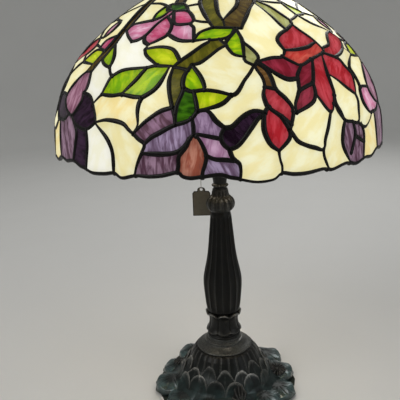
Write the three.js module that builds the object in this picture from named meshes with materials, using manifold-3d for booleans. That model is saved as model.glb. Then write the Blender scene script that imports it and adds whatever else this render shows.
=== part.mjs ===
// A leaded glass table lamp: a cast water-lily base, a fluted column on a threaded pipe, a twin pull-chain
// socket cluster, and a domed glass shade that hangs on a spider under a spun cap and a finial.
// Millimetres, +Z up. The origin is on the table under the column's axis, and -Y is the front.
import * as THREE from "three";
import { mergeVertices } from "three/addons/utils/BufferGeometryUtils.js";
import Module from "manifold-3d";

const wasm = await Module();
wasm.setup();

// Driving dimensions
const GAP = 0.3; // between pieces that touch
const SHADE_RADIUS = 203; // at the rim, to the middle of the glass
const DOME_HEIGHT = 212.4; // rim to the pole of the dome's curve
const DOME_FULLNESS = 2.48; // how long the side stays upright
const DOME_SHOULDER = 1.148; // how square the shoulder is
const RIM_Z = 354; // the rim's height above the table
const GLASS_THICKNESS = 3;
const CAME_THICKNESS = 5; // lead lines, through the glass
const CAME_WIDTH = 5;
const CROWN_ARC = 272; // from the rim up the dome to the crown's opening
const TIERS = [
  { name: "lower", from: 0, to: 92, sectors: 9 },
  { name: "middle", from: 92, to: 184, sectors: 6 },
  { name: "upper", from: 184, to: CROWN_ARC, sectors: 6 },
];
const RIM_BEAD_RADIUS = 2.2;

const BASE_RADIUS = 101; // to the middle of a lobe's edge
const BASE_LOBES = 8;
const LOBE_DEPTH = 3.5;
const BASE_WALL = 4;
const BASE_EDGE_Z = 12; // top of the pads' thick outer edge
const BASE_TOP_Z = 64;
const BASE_TOP_RADIUS = 38;
const FELT_THICKNESS = 2;
const GROMMET_BORE = 2;

const PIPE_RADIUS = 4.8;
const PIPE_BORE = 3.3;
const PIPE_CLEARANCE = 0.4;
const COLLAR_HEIGHT = 16;
const FOOT_HEIGHT = 38;
const SHAFT_HEIGHT = 144;
const SHAFT_BELLY = 26.7; // largest radius of the fluted shaft
const FLUTES = 16;
const FLUTE_DEPTH = 1.6;
const KNOP_HEIGHT = 31;
const KNOP_RADIUS = 18.7;
const NECK_HEIGHT = 52;

const CLUSTER_RADIUS = 15;
const CLUSTER_HEIGHT = 56;
const CLUSTER_DIRECTION = 134.5; // degrees from +X to the rear left socket
const SOCKET_RISE = 25; // degrees that the sockets point above the level
const SOCKET_RADIUS = 18;
const SOCKET_WALL = 1.2;
const SOCKET_LENGTH = 36;
const SPOUT_LENGTH = 10.1; // below the socket's shell
const SPOUT_RADIUS = 3.6;
const SPOUT_MARGIN = 1; // from the shell's end to its spout
const CHAIN_LENGTH = 43;
const BEAD_RADIUS = 1.6;
const BEAD_PITCH = 3.3;
const KNOB_RADIUS = 4;
const KNOB_HEIGHT = 12;
const BULB_RADIUS = 30;
const BULB_BASE_RADIUS = 13;
const BULB_BASE_LENGTH = 22;
const BULB_GLASS_LENGTH = 78;

const THREAD_RADIUS = 0.4;
const THREAD_LENGTH = 40.5;
const TAG_WIDTH = 25;
const TAG_HEIGHT = 40.5;
const TAG_THICKNESS = 0.6;
const TAG_HOLE_RADIUS = 2;

const CROWN_RING_LAP = 6; // past the dome's top opening, and as far inside the spider's wheel
const CAP_INSET = 1.2; // from the crown ring's edge to the cap's
const CAP_HEIGHT = 17;
const FINIAL_HEIGHT = 36;
const FINIAL_RADIUS = 10;
const NUT_HEIGHT = 6;
const NUT_RADIUS = 9.5;

// Places worked out from them
const BORE = PIPE_RADIUS + PIPE_CLEARANCE;
const COLLAR_Z = BASE_TOP_Z + GAP;
const FOOT_Z = COLLAR_Z + COLLAR_HEIGHT + GAP;
const SHAFT_Z = FOOT_Z + FOOT_HEIGHT + GAP;
const KNOP_Z = SHAFT_Z + SHAFT_HEIGHT + GAP;
const NECK_Z = KNOP_Z + KNOP_HEIGHT + GAP;
const CLUSTER_Z = NECK_Z + NECK_HEIGHT + GAP;
const SOCKETS_Z = CLUSTER_Z + 0.68 * CLUSTER_HEIGHT; // where the two sockets' axes cross the lamp's
const DEGREE = Math.PI / 180;

const finish = (color, roughness, metalness) => new THREE.MeshStandardMaterial({ color, roughness, metalness });
const bronze = finish(0x23231f, 0.5, 0.7);
const lead = finish(0x0c0b0b, 0.45, 0.6);
const brass = finish(0x9a7636, 0.35, 0.9);
const steel = finish(0x8a8a88, 0.4, 0.9);
const iron = finish(0x2c2b2a, 0.7, 0.6);
const porcelain = finish(0xe6e0d0, 0.3, 0);
const frosted = finish(0xfff4dc, 0.3, 0);
const felt = finish(0x1d3a2a, 1, 0);
const card = finish(0x6a6252, 0.9, 0);
const thread = finish(0xb9b5ab, 0.9, 0);
const rubber = finish(0x151515, 0.8, 0);
const creamGlass = finish(0xf2e6b4, 0.2, 0);
const purpleGlass = finish(0x7a557c, 0.2, 0);
const redGlass = finish(0xb3202c, 0.2, 0);
const greenGlass = finish(0x6d9a10, 0.2, 0);

const lamp = new THREE.Group();

function add(name, geometry, material, parent = lamp) {
  const mesh = new THREE.Mesh(geometry, material);
  mesh.name = name;
  parent.add(mesh);
  return mesh;
}

// Solids

function volumeOf(geometry) {
  const p = geometry.getAttribute("position");
  const index = geometry.index.array;
  const corner = [0, 1, 2].map(() => new THREE.Vector3());
  let sum = 0;
  for (let i = 0; i < index.length; i += 3) {
    corner.forEach((v, k) => v.fromBufferAttribute(p, index[i + k]));
    sum += corner[0].dot(corner[1].cross(corner[2])) / 6;
  }
  return sum;
}

// One closed surface: corners shared, and every face pointing out.
function closed(geometry) {
  const g = geometry.index ? geometry.clone() : mergeVertices(geometry.clone());
  for (const key of Object.keys(g.attributes)) if (key !== "position") g.deleteAttribute(key);
  const merged = mergeVertices(g, 1e-3);
  if (volumeOf(merged) < 0) {
    const a = merged.index.array;
    for (let i = 0; i < a.length; i += 3) [a[i + 1], a[i + 2]] = [a[i + 2], a[i + 1]];
  }
  return merged;
}

function solid(geometry) {
  const g = closed(geometry);
  return new wasm.Manifold(
    new wasm.Mesh({
      numProp: 3,
      vertProperties: new Float32Array(g.getAttribute("position").array),
      triVerts: new Uint32Array(g.index.array),
    }),
  );
}

function geometryOf(body) {
  const mesh = body.getMesh();
  const positions = new Float32Array(mesh.numVert * 3);
  for (let i = 0; i < mesh.numVert; i++) {
    positions.set(mesh.vertProperties.subarray(i * mesh.numProp, i * mesh.numProp + 3), i * 3);
  }
  return new THREE.BufferGeometry()
    .setAttribute("position", new THREE.BufferAttribute(positions, 3))
    .setIndex(new THREE.BufferAttribute(mesh.triVerts, 1));
}

// A profile of [radius, height] corners turned about Z. It starts and ends on the axis, or is closed here.
function turned(profile, segments = 18) {
  const points = profile.map(([r, z]) => new THREE.Vector2(r, z));
  const onAxis = profile[0][0] === 0 && profile.at(-1)[0] === 0;
  if (!onAxis) points.push(points[0].clone());
  return closed(new THREE.LatheGeometry(points, segments).rotateX(Math.PI / 2));
}

// The same with a round bore of one radius all the way up.
function bored(profile, bore = BORE, segments = 18) {
  const bottom = profile[0][1];
  const top = profile.at(-1)[1];
  return turned([[bore, bottom], ...profile, [bore, top]], segments);
}

function rod(radius, from, to, segments = 24) {
  return new THREE.CylinderGeometry(radius, radius, to - from, segments)
    .rotateX(Math.PI / 2)
    .translate(0, 0, (from + to) / 2);
}

// A skin whose radius depends on the angle: rings of corners from the bottom of the bore, up the outside and back.
function lofted(rings, segments) {
  const positions = [];
  const index = [];
  for (const ring of rings) {
    for (let i = 0; i < segments; i++) {
      const a = (i / segments) * 2 * Math.PI;
      const [r, z] = ring(a);
      positions.push(r * Math.cos(a), r * Math.sin(a), z);
    }
  }
  rings.forEach((_, j) => {
    const next = (j + 1) % rings.length;
    for (let i = 0; i < segments; i++) {
      const k = (i + 1) % segments;
      const [a, b, c, d] = [j * segments + i, j * segments + k, next * segments + k, next * segments + i];
      index.push(a, b, c, a, c, d);
    }
  });
  return closed(
    new THREE.BufferGeometry()
      .setAttribute("position", new THREE.Float32BufferAttribute(positions, 3))
      .setIndex(index),
  );
}

// The dome's curve, measured along its arc from the rim

const DOME_STEPS = 600;
const domeCurve = [];
for (let i = 0, arc = 0; i < DOME_STEPS; i++) {
  const z = (DOME_HEIGHT * i) / DOME_STEPS;
  const r = SHADE_RADIUS * (1 - (z / DOME_HEIGHT) ** DOME_FULLNESS) ** (1 / DOME_SHOULDER);
  if (i) arc += Math.hypot(z - domeCurve[i - 1].z, r - domeCurve[i - 1].r);
  domeCurve.push({ arc, r, z });
}

// The point at an arc length, moved out along the curve's normal.
function domePoint(arc, out = 0) {
  const at = Math.max(1, domeCurve.findIndex((p) => p.arc >= arc));
  const [p, q] = [domeCurve[at - 1], domeCurve[at]];
  const t = (arc - p.arc) / (q.arc - p.arc);
  const length = Math.hypot(q.r - p.r, q.z - p.z);
  return {
    r: p.r + t * (q.r - p.r) + (out * (q.z - p.z)) / length,
    z: RIM_Z + p.z + t * (q.z - p.z) - (out * (q.r - p.r)) / length,
  };
}

// A piece of the dome between two angles and two arc lengths, from `inner` to `outer` along the normal.
function domePiece(a0, a1, v0, v1, inner, outer, aSteps, vSteps) {
  const positions = [];
  const index = [];
  for (const out of [outer, inner]) {
    for (let j = 0; j <= vSteps; j++) {
      const { r, z } = domePoint(v0 + ((v1 - v0) * j) / vSteps, out);
      for (let i = 0; i <= aSteps; i++) {
        const a = (a0 + ((a1 - a0) * i) / aSteps) * DEGREE;
        positions.push(r * Math.cos(a), r * Math.sin(a), z);
      }
    }
  }
  const row = aSteps + 1;
  const sheet = row * (vSteps + 1);
  const at = (k, j, i) => k * sheet + j * row + i;
  const quad = (a, b, c, d) => index.push(a, b, c, a, c, d);
  for (let j = 0; j < vSteps; j++) {
    for (let i = 0; i < aSteps; i++) {
      quad(at(0, j, i), at(0, j, i + 1), at(0, j + 1, i + 1), at(0, j + 1, i));
      quad(at(1, j, i), at(1, j + 1, i), at(1, j + 1, i + 1), at(1, j, i + 1));
    }
    quad(at(0, j, 0), at(0, j + 1, 0), at(1, j + 1, 0), at(1, j, 0));
    quad(at(0, j, aSteps), at(1, j, aSteps), at(1, j + 1, aSteps), at(0, j + 1, aSteps));
  }
  for (let i = 0; i < aSteps; i++) {
    quad(at(0, 0, i), at(1, 0, i), at(1, 0, i + 1), at(0, 0, i + 1));
    quad(at(0, vSteps, i), at(0, vSteps, i + 1), at(1, vSteps, i + 1), at(1, vSteps, i));
  }
  return closed(
    new THREE.BufferGeometry()
      .setAttribute("position", new THREE.Float32BufferAttribute(positions, 3))
      .setIndex(index),
  );
}

// The shade

function shadePanels() {
  const windows = [];
  const glassOf = { lower: [purpleGlass, redGlass, creamGlass], middle: [creamGlass, greenGlass], upper: [creamGlass] };
  for (const tier of TIERS) {
    const { r } = domePoint((tier.from + tier.to) / 2);
    const halfBar = CAME_WIDTH / 2;
    const margin = halfBar / r / DEGREE;
    const clear = GAP / r / DEGREE;
    const span = 360 / tier.sectors;
    const aSteps = Math.round(span / 15);
    for (let k = 0; k < tier.sectors; k++) {
      const from = k * span - 90;
      const piece = (grow, inner, outer) =>
        domePiece(
          from + margin - grow * clear,
          from + span - margin + grow * clear,
          tier.from + halfBar - grow * GAP,
          tier.to - halfBar + grow * GAP,
          inner,
          outer,
          aSteps,
          2,
        );
      const glass = glassOf[tier.name];
      add(
        `glass_${tier.name}_${k + 1}`,
        piece(0, -GLASS_THICKNESS / 2, GLASS_THICKNESS / 2),
        glass[k % glass.length],
      );
      windows.push(solid(piece(1, -2 * CAME_THICKNESS, 2 * CAME_THICKNESS)));
    }
  }
  return windows;
}

function leadFrame(windows) {
  const half = CAME_THICKNESS / 2;
  const rows = 5;
  const arcs = Array.from({ length: rows + 1 }, (_, i) => (CROWN_ARC * i) / rows);
  const outside = arcs.map((v) => domePoint(v, half));
  const inside = arcs.map((v) => domePoint(v, -half)).reverse();
  const dome = turned([...outside, ...inside].map(({ r, z }) => [r, z]), 36);
  const frame = windows.reduce((body, window) => body.subtract(window), solid(dome));
  add("lead_frame", geometryOf(frame), lead);
}

// Where the crown ring rests: just above the lead frame's top edge.
const CROWN_Z = domePoint(CROWN_ARC, CAME_THICKNESS / 2).z + GAP;
const CROWN_RING_THICKNESS = 1.6;
const CROWN_RADIUS = domePoint(CROWN_ARC).r;
const CAP_RADIUS = CROWN_RADIUS + CROWN_RING_LAP - CAP_INSET;
const CAP_Z = CROWN_Z + CROWN_RING_THICKNESS + GAP;
const FINIAL_Z = CAP_Z + CAP_HEIGHT + GAP;

function rimBead() {
  const bead = new THREE.TorusGeometry(SHADE_RADIUS, RIM_BEAD_RADIUS, 5, 36);
  add("rim_bead", closed(bead).translate(0, 0, RIM_Z - CAME_THICKNESS / 2 - RIM_BEAD_RADIUS), lead);
}

function crownRing() {
  const top = CROWN_Z + CROWN_RING_THICKNESS;
  const [inner, outer] = [CROWN_RADIUS - 5 - CROWN_RING_LAP, CROWN_RADIUS + CROWN_RING_LAP];
  add("crown_ring", turned([[inner, CROWN_Z], [outer, CROWN_Z], [outer, top], [inner, top]], 36), brass);
}

function spunCap() {
  const wall = 1.4;
  const at = (radiusShare, heightShare) => [CAP_RADIUS * radiusShare, CAP_Z + CAP_HEIGHT * heightShare];
  const outside = [at(1, 0), at(1, 0.1), at(0.93, 0.34), at(0.72, 0.62), at(0.4, 0.84), at(0.2, 1)];
  const inside = outside.map(([r, z]) => [r - wall * 0.6, z - wall]).reverse();
  inside[0] = [BORE, CAP_Z + CAP_HEIGHT - wall];
  inside[inside.length - 1] = [CAP_RADIUS - wall, CAP_Z];
  add("spun_cap", turned([...outside, [BORE, CAP_Z + CAP_HEIGHT], ...inside], 24), bronze);
}

function finial() {
  const at = (radiusShare, heightShare) => [FINIAL_RADIUS * radiusShare, FINIAL_Z + FINIAL_HEIGHT * heightShare];
  const depth = 0.45 * FINIAL_HEIGHT;
  add(
    "finial",
    turned([
      [0, FINIAL_Z + depth],
      [BORE, FINIAL_Z + depth],
      [BORE, FINIAL_Z],
      at(0.95, 0),
      at(0.95, 0.08),
      at(0.62, 0.16),
      at(0.85, 0.3),
      at(1, 0.44),
      at(0.92, 0.58),
      at(0.6, 0.72),
      at(0.34, 0.82),
      at(0.36, 0.9),
      at(0.2, 0.98),
      at(0, 1),
    ]),
    bronze,
  );
}

function hexNut(name, z) {
  const nut = new THREE.CylinderGeometry(NUT_RADIUS, NUT_RADIUS, NUT_HEIGHT, 6).rotateX(Math.PI / 2);
  const body = solid(nut).subtract(solid(rod(BORE, -NUT_HEIGHT, NUT_HEIGHT)));
  add(name, geometryOf(body), steel).position.z = z + NUT_HEIGHT / 2;
}

// The wheel on the riser that the crown ring rests on.
function spider() {
  const thickness = 2;
  const top = CROWN_Z - GAP;
  const [rimInner, rimOuter] = [CROWN_RADIUS - 5 - CROWN_RING_LAP, CROWN_RADIUS - 5];
  const ring = (inner, outer) => {
    const [low, high] = [top - thickness, top];
    return solid(turned([[inner, low], [outer, low], [outer, high], [inner, high]], 36));
  };
  let wheel = ring(BORE, 10).add(ring(rimInner, rimOuter));
  for (let k = 0; k < 3; k++) {
    const spoke = new THREE.BoxGeometry(rimInner - 6, 5, thickness)
      .translate((rimInner + 10) / 2, 0, top - thickness / 2)
      .rotateZ((k * 2 * Math.PI) / 3);
    wheel = wheel.add(solid(spoke));
  }
  add("shade_spider", geometryOf(wheel), steel);
  hexNut("spider_nut", top - thickness - GAP - NUT_HEIGHT);
}

function riserPipe() {
  const from = CLUSTER_Z + CLUSTER_HEIGHT - 12;
  const to = FINIAL_Z + 0.45 * FINIAL_HEIGHT - 2;
  add("riser_pipe", bored([[PIPE_RADIUS, from], [PIPE_RADIUS, to]], PIPE_BORE, 20), steel);
}

// The base

const grommetAxisZ = (BASE_EDGE_Z + FELT_THICKNESS) / 2 + 0.3;

function baseCasting() {
  const lobed = (radius, share, z) => (a) => [
    radius + share * LOBE_DEPTH * Math.cos(BASE_LOBES * a),
    z,
  ];
  const floor = FELT_THICKNESS + GAP;
  const R = BASE_RADIUS;
  const wall = BASE_WALL;
  const rings = [
    lobed(BORE, 0, BASE_TOP_Z - wall),
    lobed(BORE, 0, BASE_TOP_Z),
    lobed(BASE_TOP_RADIUS, 0, BASE_TOP_Z),
    lobed(47, 0, 50),
    lobed(53, 0, 39),
    lobed(57, 0.1, 31),
    lobed(72, 0.5, 23),
    lobed(88, 0.8, 17),
    lobed(R - 2, 1, BASE_EDGE_Z),
    lobed(R, 1, BASE_EDGE_Z - 4),
    lobed(R - 1, 1, floor),
    lobed(R - 1 - wall, 1, floor),
    lobed(R - 2 - wall, 1, BASE_EDGE_Z - wall),
    lobed(86, 0.8, 17 - wall),
    lobed(70, 0.5, 23 - wall),
    lobed(54, 0.1, 30 - wall),
    lobed(49, 0, 37),
    lobed(43, 0, 48),
    lobed(BASE_TOP_RADIUS - wall, 0, BASE_TOP_Z - wall),
  ];
  const hole = solid(rod(GROMMET_BORE + 1 + GAP, 0, 30, 16).rotateX(-Math.PI / 2))
    .translate([0, R - 22, grommetAxisZ]);
  add("base_casting", geometryOf(solid(lofted(rings, 48)).subtract(hole)), bronze);
}

function baseFittings() {
  const edge = Array.from({ length: 48 }, (_, i) => {
    const a = (i / 48) * 2 * Math.PI;
    const r = BASE_RADIUS - 2 + LOBE_DEPTH * Math.cos(BASE_LOBES * a);
    return new THREE.Vector2(r * Math.cos(a), r * Math.sin(a));
  });
  const pad = new THREE.ExtrudeGeometry(new THREE.Shape(edge), { depth: FELT_THICKNESS, bevelEnabled: false });
  add("felt_pad", closed(pad), felt);
  const hubTop = BASE_TOP_Z - BASE_WALL - GAP;
  add("base_weight", bored([[42, 20], [42, 33], [14, 36], [14, hubTop]]), iron);
  const washerZ = 20 - GAP - 1.2;
  add("base_washer", bored([[12, washerZ], [12, washerZ + 1.2]]), steel);
  hexNut("base_nut", washerZ - GAP - NUT_HEIGHT);
  const flange = GROMMET_BORE + 2.2;
  const lobeEdge = BASE_RADIUS + LOBE_DEPTH;
  const grommet = turned(
    [
      [GROMMET_BORE, lobeEdge - 9],
      [GROMMET_BORE + 1, lobeEdge - 9],
      [GROMMET_BORE + 1, lobeEdge + GAP],
      [flange, lobeEdge + GAP],
      [flange, lobeEdge + GAP + 1.5],
      [GROMMET_BORE, lobeEdge + GAP + 1.5],
    ],
    16,
  );
  const mesh = add("cord_grommet", grommet, rubber);
  mesh.rotation.x = -Math.PI / 2;
  mesh.position.z = grommetAxisZ;
}

// The column, stacked on its pipe

function column() {
  add(
    "base_collar",
    bored([[BASE_TOP_RADIUS, COLLAR_Z], [BASE_TOP_RADIUS, COLLAR_Z + 2], [26, COLLAR_Z + 8], [26, COLLAR_Z + COLLAR_HEIGHT]]),
    bronze,
  );
  const foot = (r, share) => [r, FOOT_Z + FOOT_HEIGHT * share];
  add(
    "column_foot",
    bored([foot(24, 0), foot(24.4, 0.06), foot(21.4, 0.28), foot(20, 0.5), foot(20.2, 0.7), foot(23.2, 1)]),
    bronze,
  );
  add("column_shaft", flutedShaft(), bronze);
  const knop = (r, share) => [r * KNOP_RADIUS, KNOP_Z + KNOP_HEIGHT * share];
  add(
    "column_knop",
    bored([knop(0.75, 0), knop(0.93, 0.12), knop(1, 0.36), knop(0.94, 0.56), knop(0.8, 0.7), knop(0.58, 0.84), knop(0.47, 1)]),
    bronze,
  );
  const neck = (r, share) => [r, NECK_Z + NECK_HEIGHT * share];
  add(
    "column_neck",
    bored([
      neck(8.8, 0), neck(8.8, 0.05), neck(10.5, 0.08), neck(10.5, 0.12), neck(8.9, 0.15), neck(9.4, 0.22),
      neck(11.2, 0.36), neck(14, 0.55), neck(18, 0.78), neck(20, 0.9), neck(20, 1),
    ]),
    bronze,
  );
  const top = CLUSTER_Z + 14;
  add("main_pipe", bored([[PIPE_RADIUS, FELT_THICKNESS + 4], [PIPE_RADIUS, top]], PIPE_BORE, 20), steel);
}

// The radius of the shaft's ridges at a share of its height: a long vase with its belly low down.
function shaftRadius(share) {
  const stations = [
    [0, 23.2], [0.06, 24.2], [0.13, 25], [0.24, 26.5], [0.33, 26.6], [0.5, 21.8], [0.67, 18.2], [0.8, 16.4],
    [0.95, 14.4], [1, 14],
  ];
  const k = Math.max(1, stations.findIndex(([s]) => s >= share));
  const [[s0, r0], [s1, r1]] = [stations[k - 1], stations[k]];
  return ((r0 + ((share - s0) / (s1 - s0)) * (r1 - r0)) * SHAFT_BELLY) / 26.7;
}

function flutedShaft() {
  const rows = 9;
  const ringAt = (share, depth) => (a) => [
    shaftRadius(share) - depth * (0.5 - 0.5 * Math.cos(FLUTES * a)),
    SHAFT_Z + SHAFT_HEIGHT * share,
  ];
  const shares = Array.from({ length: rows + 1 }, (_, i) => i / rows);
  const outside = shares.map((s) => ringAt(s, s === 0 || s === 1 ? 0 : FLUTE_DEPTH));
  return lofted([() => [BORE, SHAFT_Z], ...outside, () => [BORE, SHAFT_Z + SHAFT_HEIGHT]], FLUTES * 2);
}

// The sockets, bulbs and pull chains

const NIPPLE_RADIUS = 5;
const CAP_FROM = CLUSTER_RADIUS + 3; // along the socket's axis from the lamp's
const SHELL_FROM = CAP_FROM + 10 + GAP;
const SHELL_TO = SHELL_FROM + SOCKET_LENGTH;
const CORE_FROM = SHELL_FROM + 1.5;
const CORE_FLOOR = 9;
const BULB_FROM = CORE_FROM + CORE_FLOOR + GAP;

// Where a spout's plumb line crosses its socket's axis, far enough out for the spout to clear the shell's end.
const SPOUT_ROOT =
  SHELL_FROM +
  SOCKET_RADIUS * Math.tan(SOCKET_RISE * DEGREE) +
  SPOUT_RADIUS / Math.cos(SOCKET_RISE * DEGREE) +
  SPOUT_MARGIN;
const SPOUT_REACH = SOCKET_RADIUS / Math.cos(SOCKET_RISE * DEGREE) + SPOUT_LENGTH;
const CHAIN_DISTANCE = SPOUT_ROOT * Math.cos(SOCKET_RISE * DEGREE);

// A group whose +Z runs along a socket and whose +X points down.
function alongSocket(direction) {
  const group = new THREE.Group();
  group.position.z = SOCKETS_Z;
  group.rotation.set(0, (90 - SOCKET_RISE) * DEGREE, direction * DEGREE, "ZYX");
  lamp.add(group);
  return group;
}

function cluster() {
  const at = (r, share) => [CLUSTER_RADIUS * r, CLUSTER_Z + CLUSTER_HEIGHT * share];
  let body = solid(
    bored([at(1.2, 0), at(1.2, 0.08), at(0.75, 0.2), at(0.75, 0.4), at(1, 0.5), at(1, 0.84), at(0.75, 0.94), at(0.6, 1)]),
  );
  for (const direction of [CLUSTER_DIRECTION, CLUSTER_DIRECTION + 180]) {
    const nipple = rod(NIPPLE_RADIUS, CLUSTER_RADIUS * 0.6, CAP_FROM + 6, 16);
    nipple.rotateY((90 - SOCKET_RISE) * DEGREE).rotateZ(direction * DEGREE).translate(0, 0, SOCKETS_Z);
    body = body.add(solid(nipple));
  }
  add("socket_cluster", geometryOf(body), bronze);
}

function socketShell() {
  const inner = rod(SOCKET_RADIUS - SOCKET_WALL, SHELL_FROM - 1, SHELL_TO + 1, 20);
  const outer = rod(SOCKET_RADIUS, SHELL_FROM, SHELL_TO, 20);
  // The spout hangs plumb, though the socket is tilted.
  const plumb = (g) => g.rotateY((90 + SOCKET_RISE) * DEGREE).translate(0, 0, SPOUT_ROOT);
  const spout = solid(plumb(rod(SPOUT_RADIUS, SOCKET_RADIUS - 0.6, SPOUT_REACH, 14)));
  const bore = solid(plumb(rod(BEAD_RADIUS + 0.5, SOCKET_RADIUS - 6, SPOUT_REACH + 1, 12)));
  return geometryOf(solid(outer).add(spout).subtract(solid(inner)).subtract(bore));
}

function socket(side, direction) {
  const group = alongSocket(direction);
  const hole = NIPPLE_RADIUS + GAP;
  const wall = SOCKET_WALL;
  const [r, z] = [SOCKET_RADIUS, CAP_FROM];
  add(
    `socket_cap_${side}`,
    turned([
      [hole, z], [9, z], [r * 0.9, z + 5], [r, z + 8], [r, z + 10],
      [r - wall, z + 10], [r - wall, z + 8.6], [r * 0.9 - wall, z + 6], [9 - wall / 2, z + wall], [hole, z + wall],
    ], 20),
    brass,
    group,
  );
  add(`socket_shell_${side}`, socketShell(), brass, group);
  const outer = SOCKET_RADIUS - SOCKET_WALL - GAP;
  const inner = BULB_BASE_RADIUS + GAP + 0.2;
  const mouth = SHELL_TO - 2;
  add(
    `socket_core_${side}`,
    turned([
      [0, CORE_FROM + 6], [outer - 6, CORE_FROM + 6], [outer, CORE_FROM + 6.5], [outer, mouth], [inner, mouth],
      [inner, CORE_FROM + CORE_FLOOR], [0, CORE_FROM + CORE_FLOOR],
    ], 20),
    porcelain,
    group,
  );
  bulb(side, group);
}

function bulb(side, group) {
  const screw = [[0, BULB_FROM], [4, BULB_FROM], [6, BULB_FROM + 3], [BULB_BASE_RADIUS - 0.8, BULB_FROM + 5]];
  const threads = 3;
  for (let k = 0; k < threads; k++) {
    const z = BULB_FROM + 6 + (k * (BULB_BASE_LENGTH - 8)) / threads;
    screw.push([BULB_BASE_RADIUS, z + 1], [BULB_BASE_RADIUS - 0.8, z + 2.6]);
  }
  const top = BULB_FROM + BULB_BASE_LENGTH;
  screw.push([BULB_BASE_RADIUS, top - 1], [BULB_BASE_RADIUS, top], [0, top]);
  add(`bulb_base_${side}`, turned(screw, 16), brass, group);
  const glass = (r, share) => [r, top + GAP + BULB_GLASS_LENGTH * share];
  const R = BULB_RADIUS;
  add(
    `bulb_glass_${side}`,
    turned([
      glass(0, 0), glass(BULB_BASE_RADIUS - 0.5, 0), glass(R * 0.47, 0.12), glass(R * 0.72, 0.28), glass(R * 0.93, 0.44),
      glass(R, 0.6), glass(R * 0.93, 0.77), glass(R * 0.71, 0.9), glass(R * 0.38, 0.98), glass(0, 1),
    ], 20),
    frosted,
    group,
  );
}

const SPOUT_Z = SOCKETS_Z + CHAIN_DISTANCE * Math.tan(SOCKET_RISE * DEGREE) - SPOUT_REACH;
const CHAIN_TOP = SPOUT_Z + 9.5;
const KNOB_TOP = CHAIN_TOP - CHAIN_LENGTH - GAP;

function pullChain(side, direction) {
  const beads = [[0, CHAIN_TOP]];
  const count = Math.floor(CHAIN_LENGTH / BEAD_PITCH);
  for (let k = 0; k < count; k++) {
    const z = CHAIN_TOP - k * BEAD_PITCH;
    beads.push([0.7, z - 0.2], [BEAD_RADIUS, z - 1.6], [0.7, z - 3]);
  }
  beads.push([0.7, CHAIN_TOP - CHAIN_LENGTH], [0, CHAIN_TOP - CHAIN_LENGTH]);
  const x = CHAIN_DISTANCE * Math.cos(direction * DEGREE);
  const y = CHAIN_DISTANCE * Math.sin(direction * DEGREE);
  add(`pull_chain_${side}`, turned(beads, 5), brass).position.set(x, y, 0);
  const at = (r, share) => [KNOB_RADIUS * r, KNOB_TOP - KNOB_HEIGHT * share];
  add(
    `pull_knob_${side}`,
    turned([at(0, 0), at(0.4, 0), at(0.5, 0.2), at(0.9, 0.6), at(1, 0.8), at(0.7, 0.96), at(0, 1)], 16),
    brass,
  ).position.set(x, y, 0);
  return [x, y];
}

// A plain card tag that hangs from the rear left chain's knob on a thread.
function swingTag([x, y]) {
  const top = KNOB_TOP - KNOB_HEIGHT - GAP;
  const foot = top - THREAD_LENGTH;
  const tagPlane = y + THREAD_RADIUS + TAG_THICKNESS / 2 + GAP;
  const eyeZ = foot - GAP - TAG_HOLE_RADIUS;
  const path = new THREE.CatmullRomCurve3([
    new THREE.Vector3(x, y, top),
    new THREE.Vector3(x, y, (top + foot) / 2),
    new THREE.Vector3(x, y, foot + 2),
    new THREE.Vector3(x, tagPlane - 0.4, eyeZ + 0.3),
    new THREE.Vector3(x, tagPlane + 1, eyeZ - 0.2),
  ]);
  const section = new THREE.Shape().absarc(0, 0, THREAD_RADIUS, 0, 2 * Math.PI, false);
  const line = new THREE.ExtrudeGeometry(section, { steps: 12, curveSegments: 2, extrudePath: path, bevelEnabled: false });
  add("tag_thread", closed(line), thread);

  const half = TAG_WIDTH / 2;
  const shoulder = -5;
  const outline = new THREE.Shape();
  outline.moveTo(-half, shoulder - TAG_HEIGHT + 8);
  outline.lineTo(half, shoulder - TAG_HEIGHT + 8);
  outline.lineTo(half, shoulder);
  outline.lineTo(8, shoulder + 1);
  outline.absarc(0, -2.5, 6, 0.1 * Math.PI, 0.9 * Math.PI, false);
  outline.lineTo(-8, shoulder + 1);
  outline.lineTo(-half, shoulder);
  outline.closePath();
  const eye = new THREE.Path().absarc(0, -TAG_HOLE_RADIUS, TAG_HOLE_RADIUS, 0, 2 * Math.PI, true);
  outline.holes.push(eye);
  const tag = new THREE.ExtrudeGeometry(outline, { depth: TAG_THICKNESS, curveSegments: 5, bevelEnabled: false });
  const mesh = add("swing_tag", closed(tag), card);
  mesh.rotation.x = Math.PI / 2;
  mesh.position.set(x, tagPlane + TAG_THICKNESS / 2, foot - GAP);
}

leadFrame(shadePanels());
rimBead();
crownRing();
spunCap();
finial();
spider();
riserPipe();
baseCasting();
baseFittings();
column();
cluster();
socket("left", CLUSTER_DIRECTION);
socket("right", CLUSTER_DIRECTION + 180);
const leftChain = pullChain("left", CLUSTER_DIRECTION);
pullChain("right", CLUSTER_DIRECTION + 180);
swingTag(leftChain);

export default lamp;
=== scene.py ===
"""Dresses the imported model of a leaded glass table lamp: its glass, solder, bronze, sockets, bulbs and tag.

Laid out as an add-on. Each operator makes one piece or one group of like pieces, from settings that are
shown in the 3D view's sidebar. Lengths are in metres unless a name says otherwise. An azimuth is in degrees
from the front (-Y) towards +X, and a rise is measured in millimetres along the dome's arc from its rim.
"""

import math
import random

import bpy
from bpy.props import FloatProperty, FloatVectorProperty, IntProperty, PointerProperty
from mathutils import Matrix, Vector, noise
from mathutils.geometry import delaunay_2d_cdt


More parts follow.
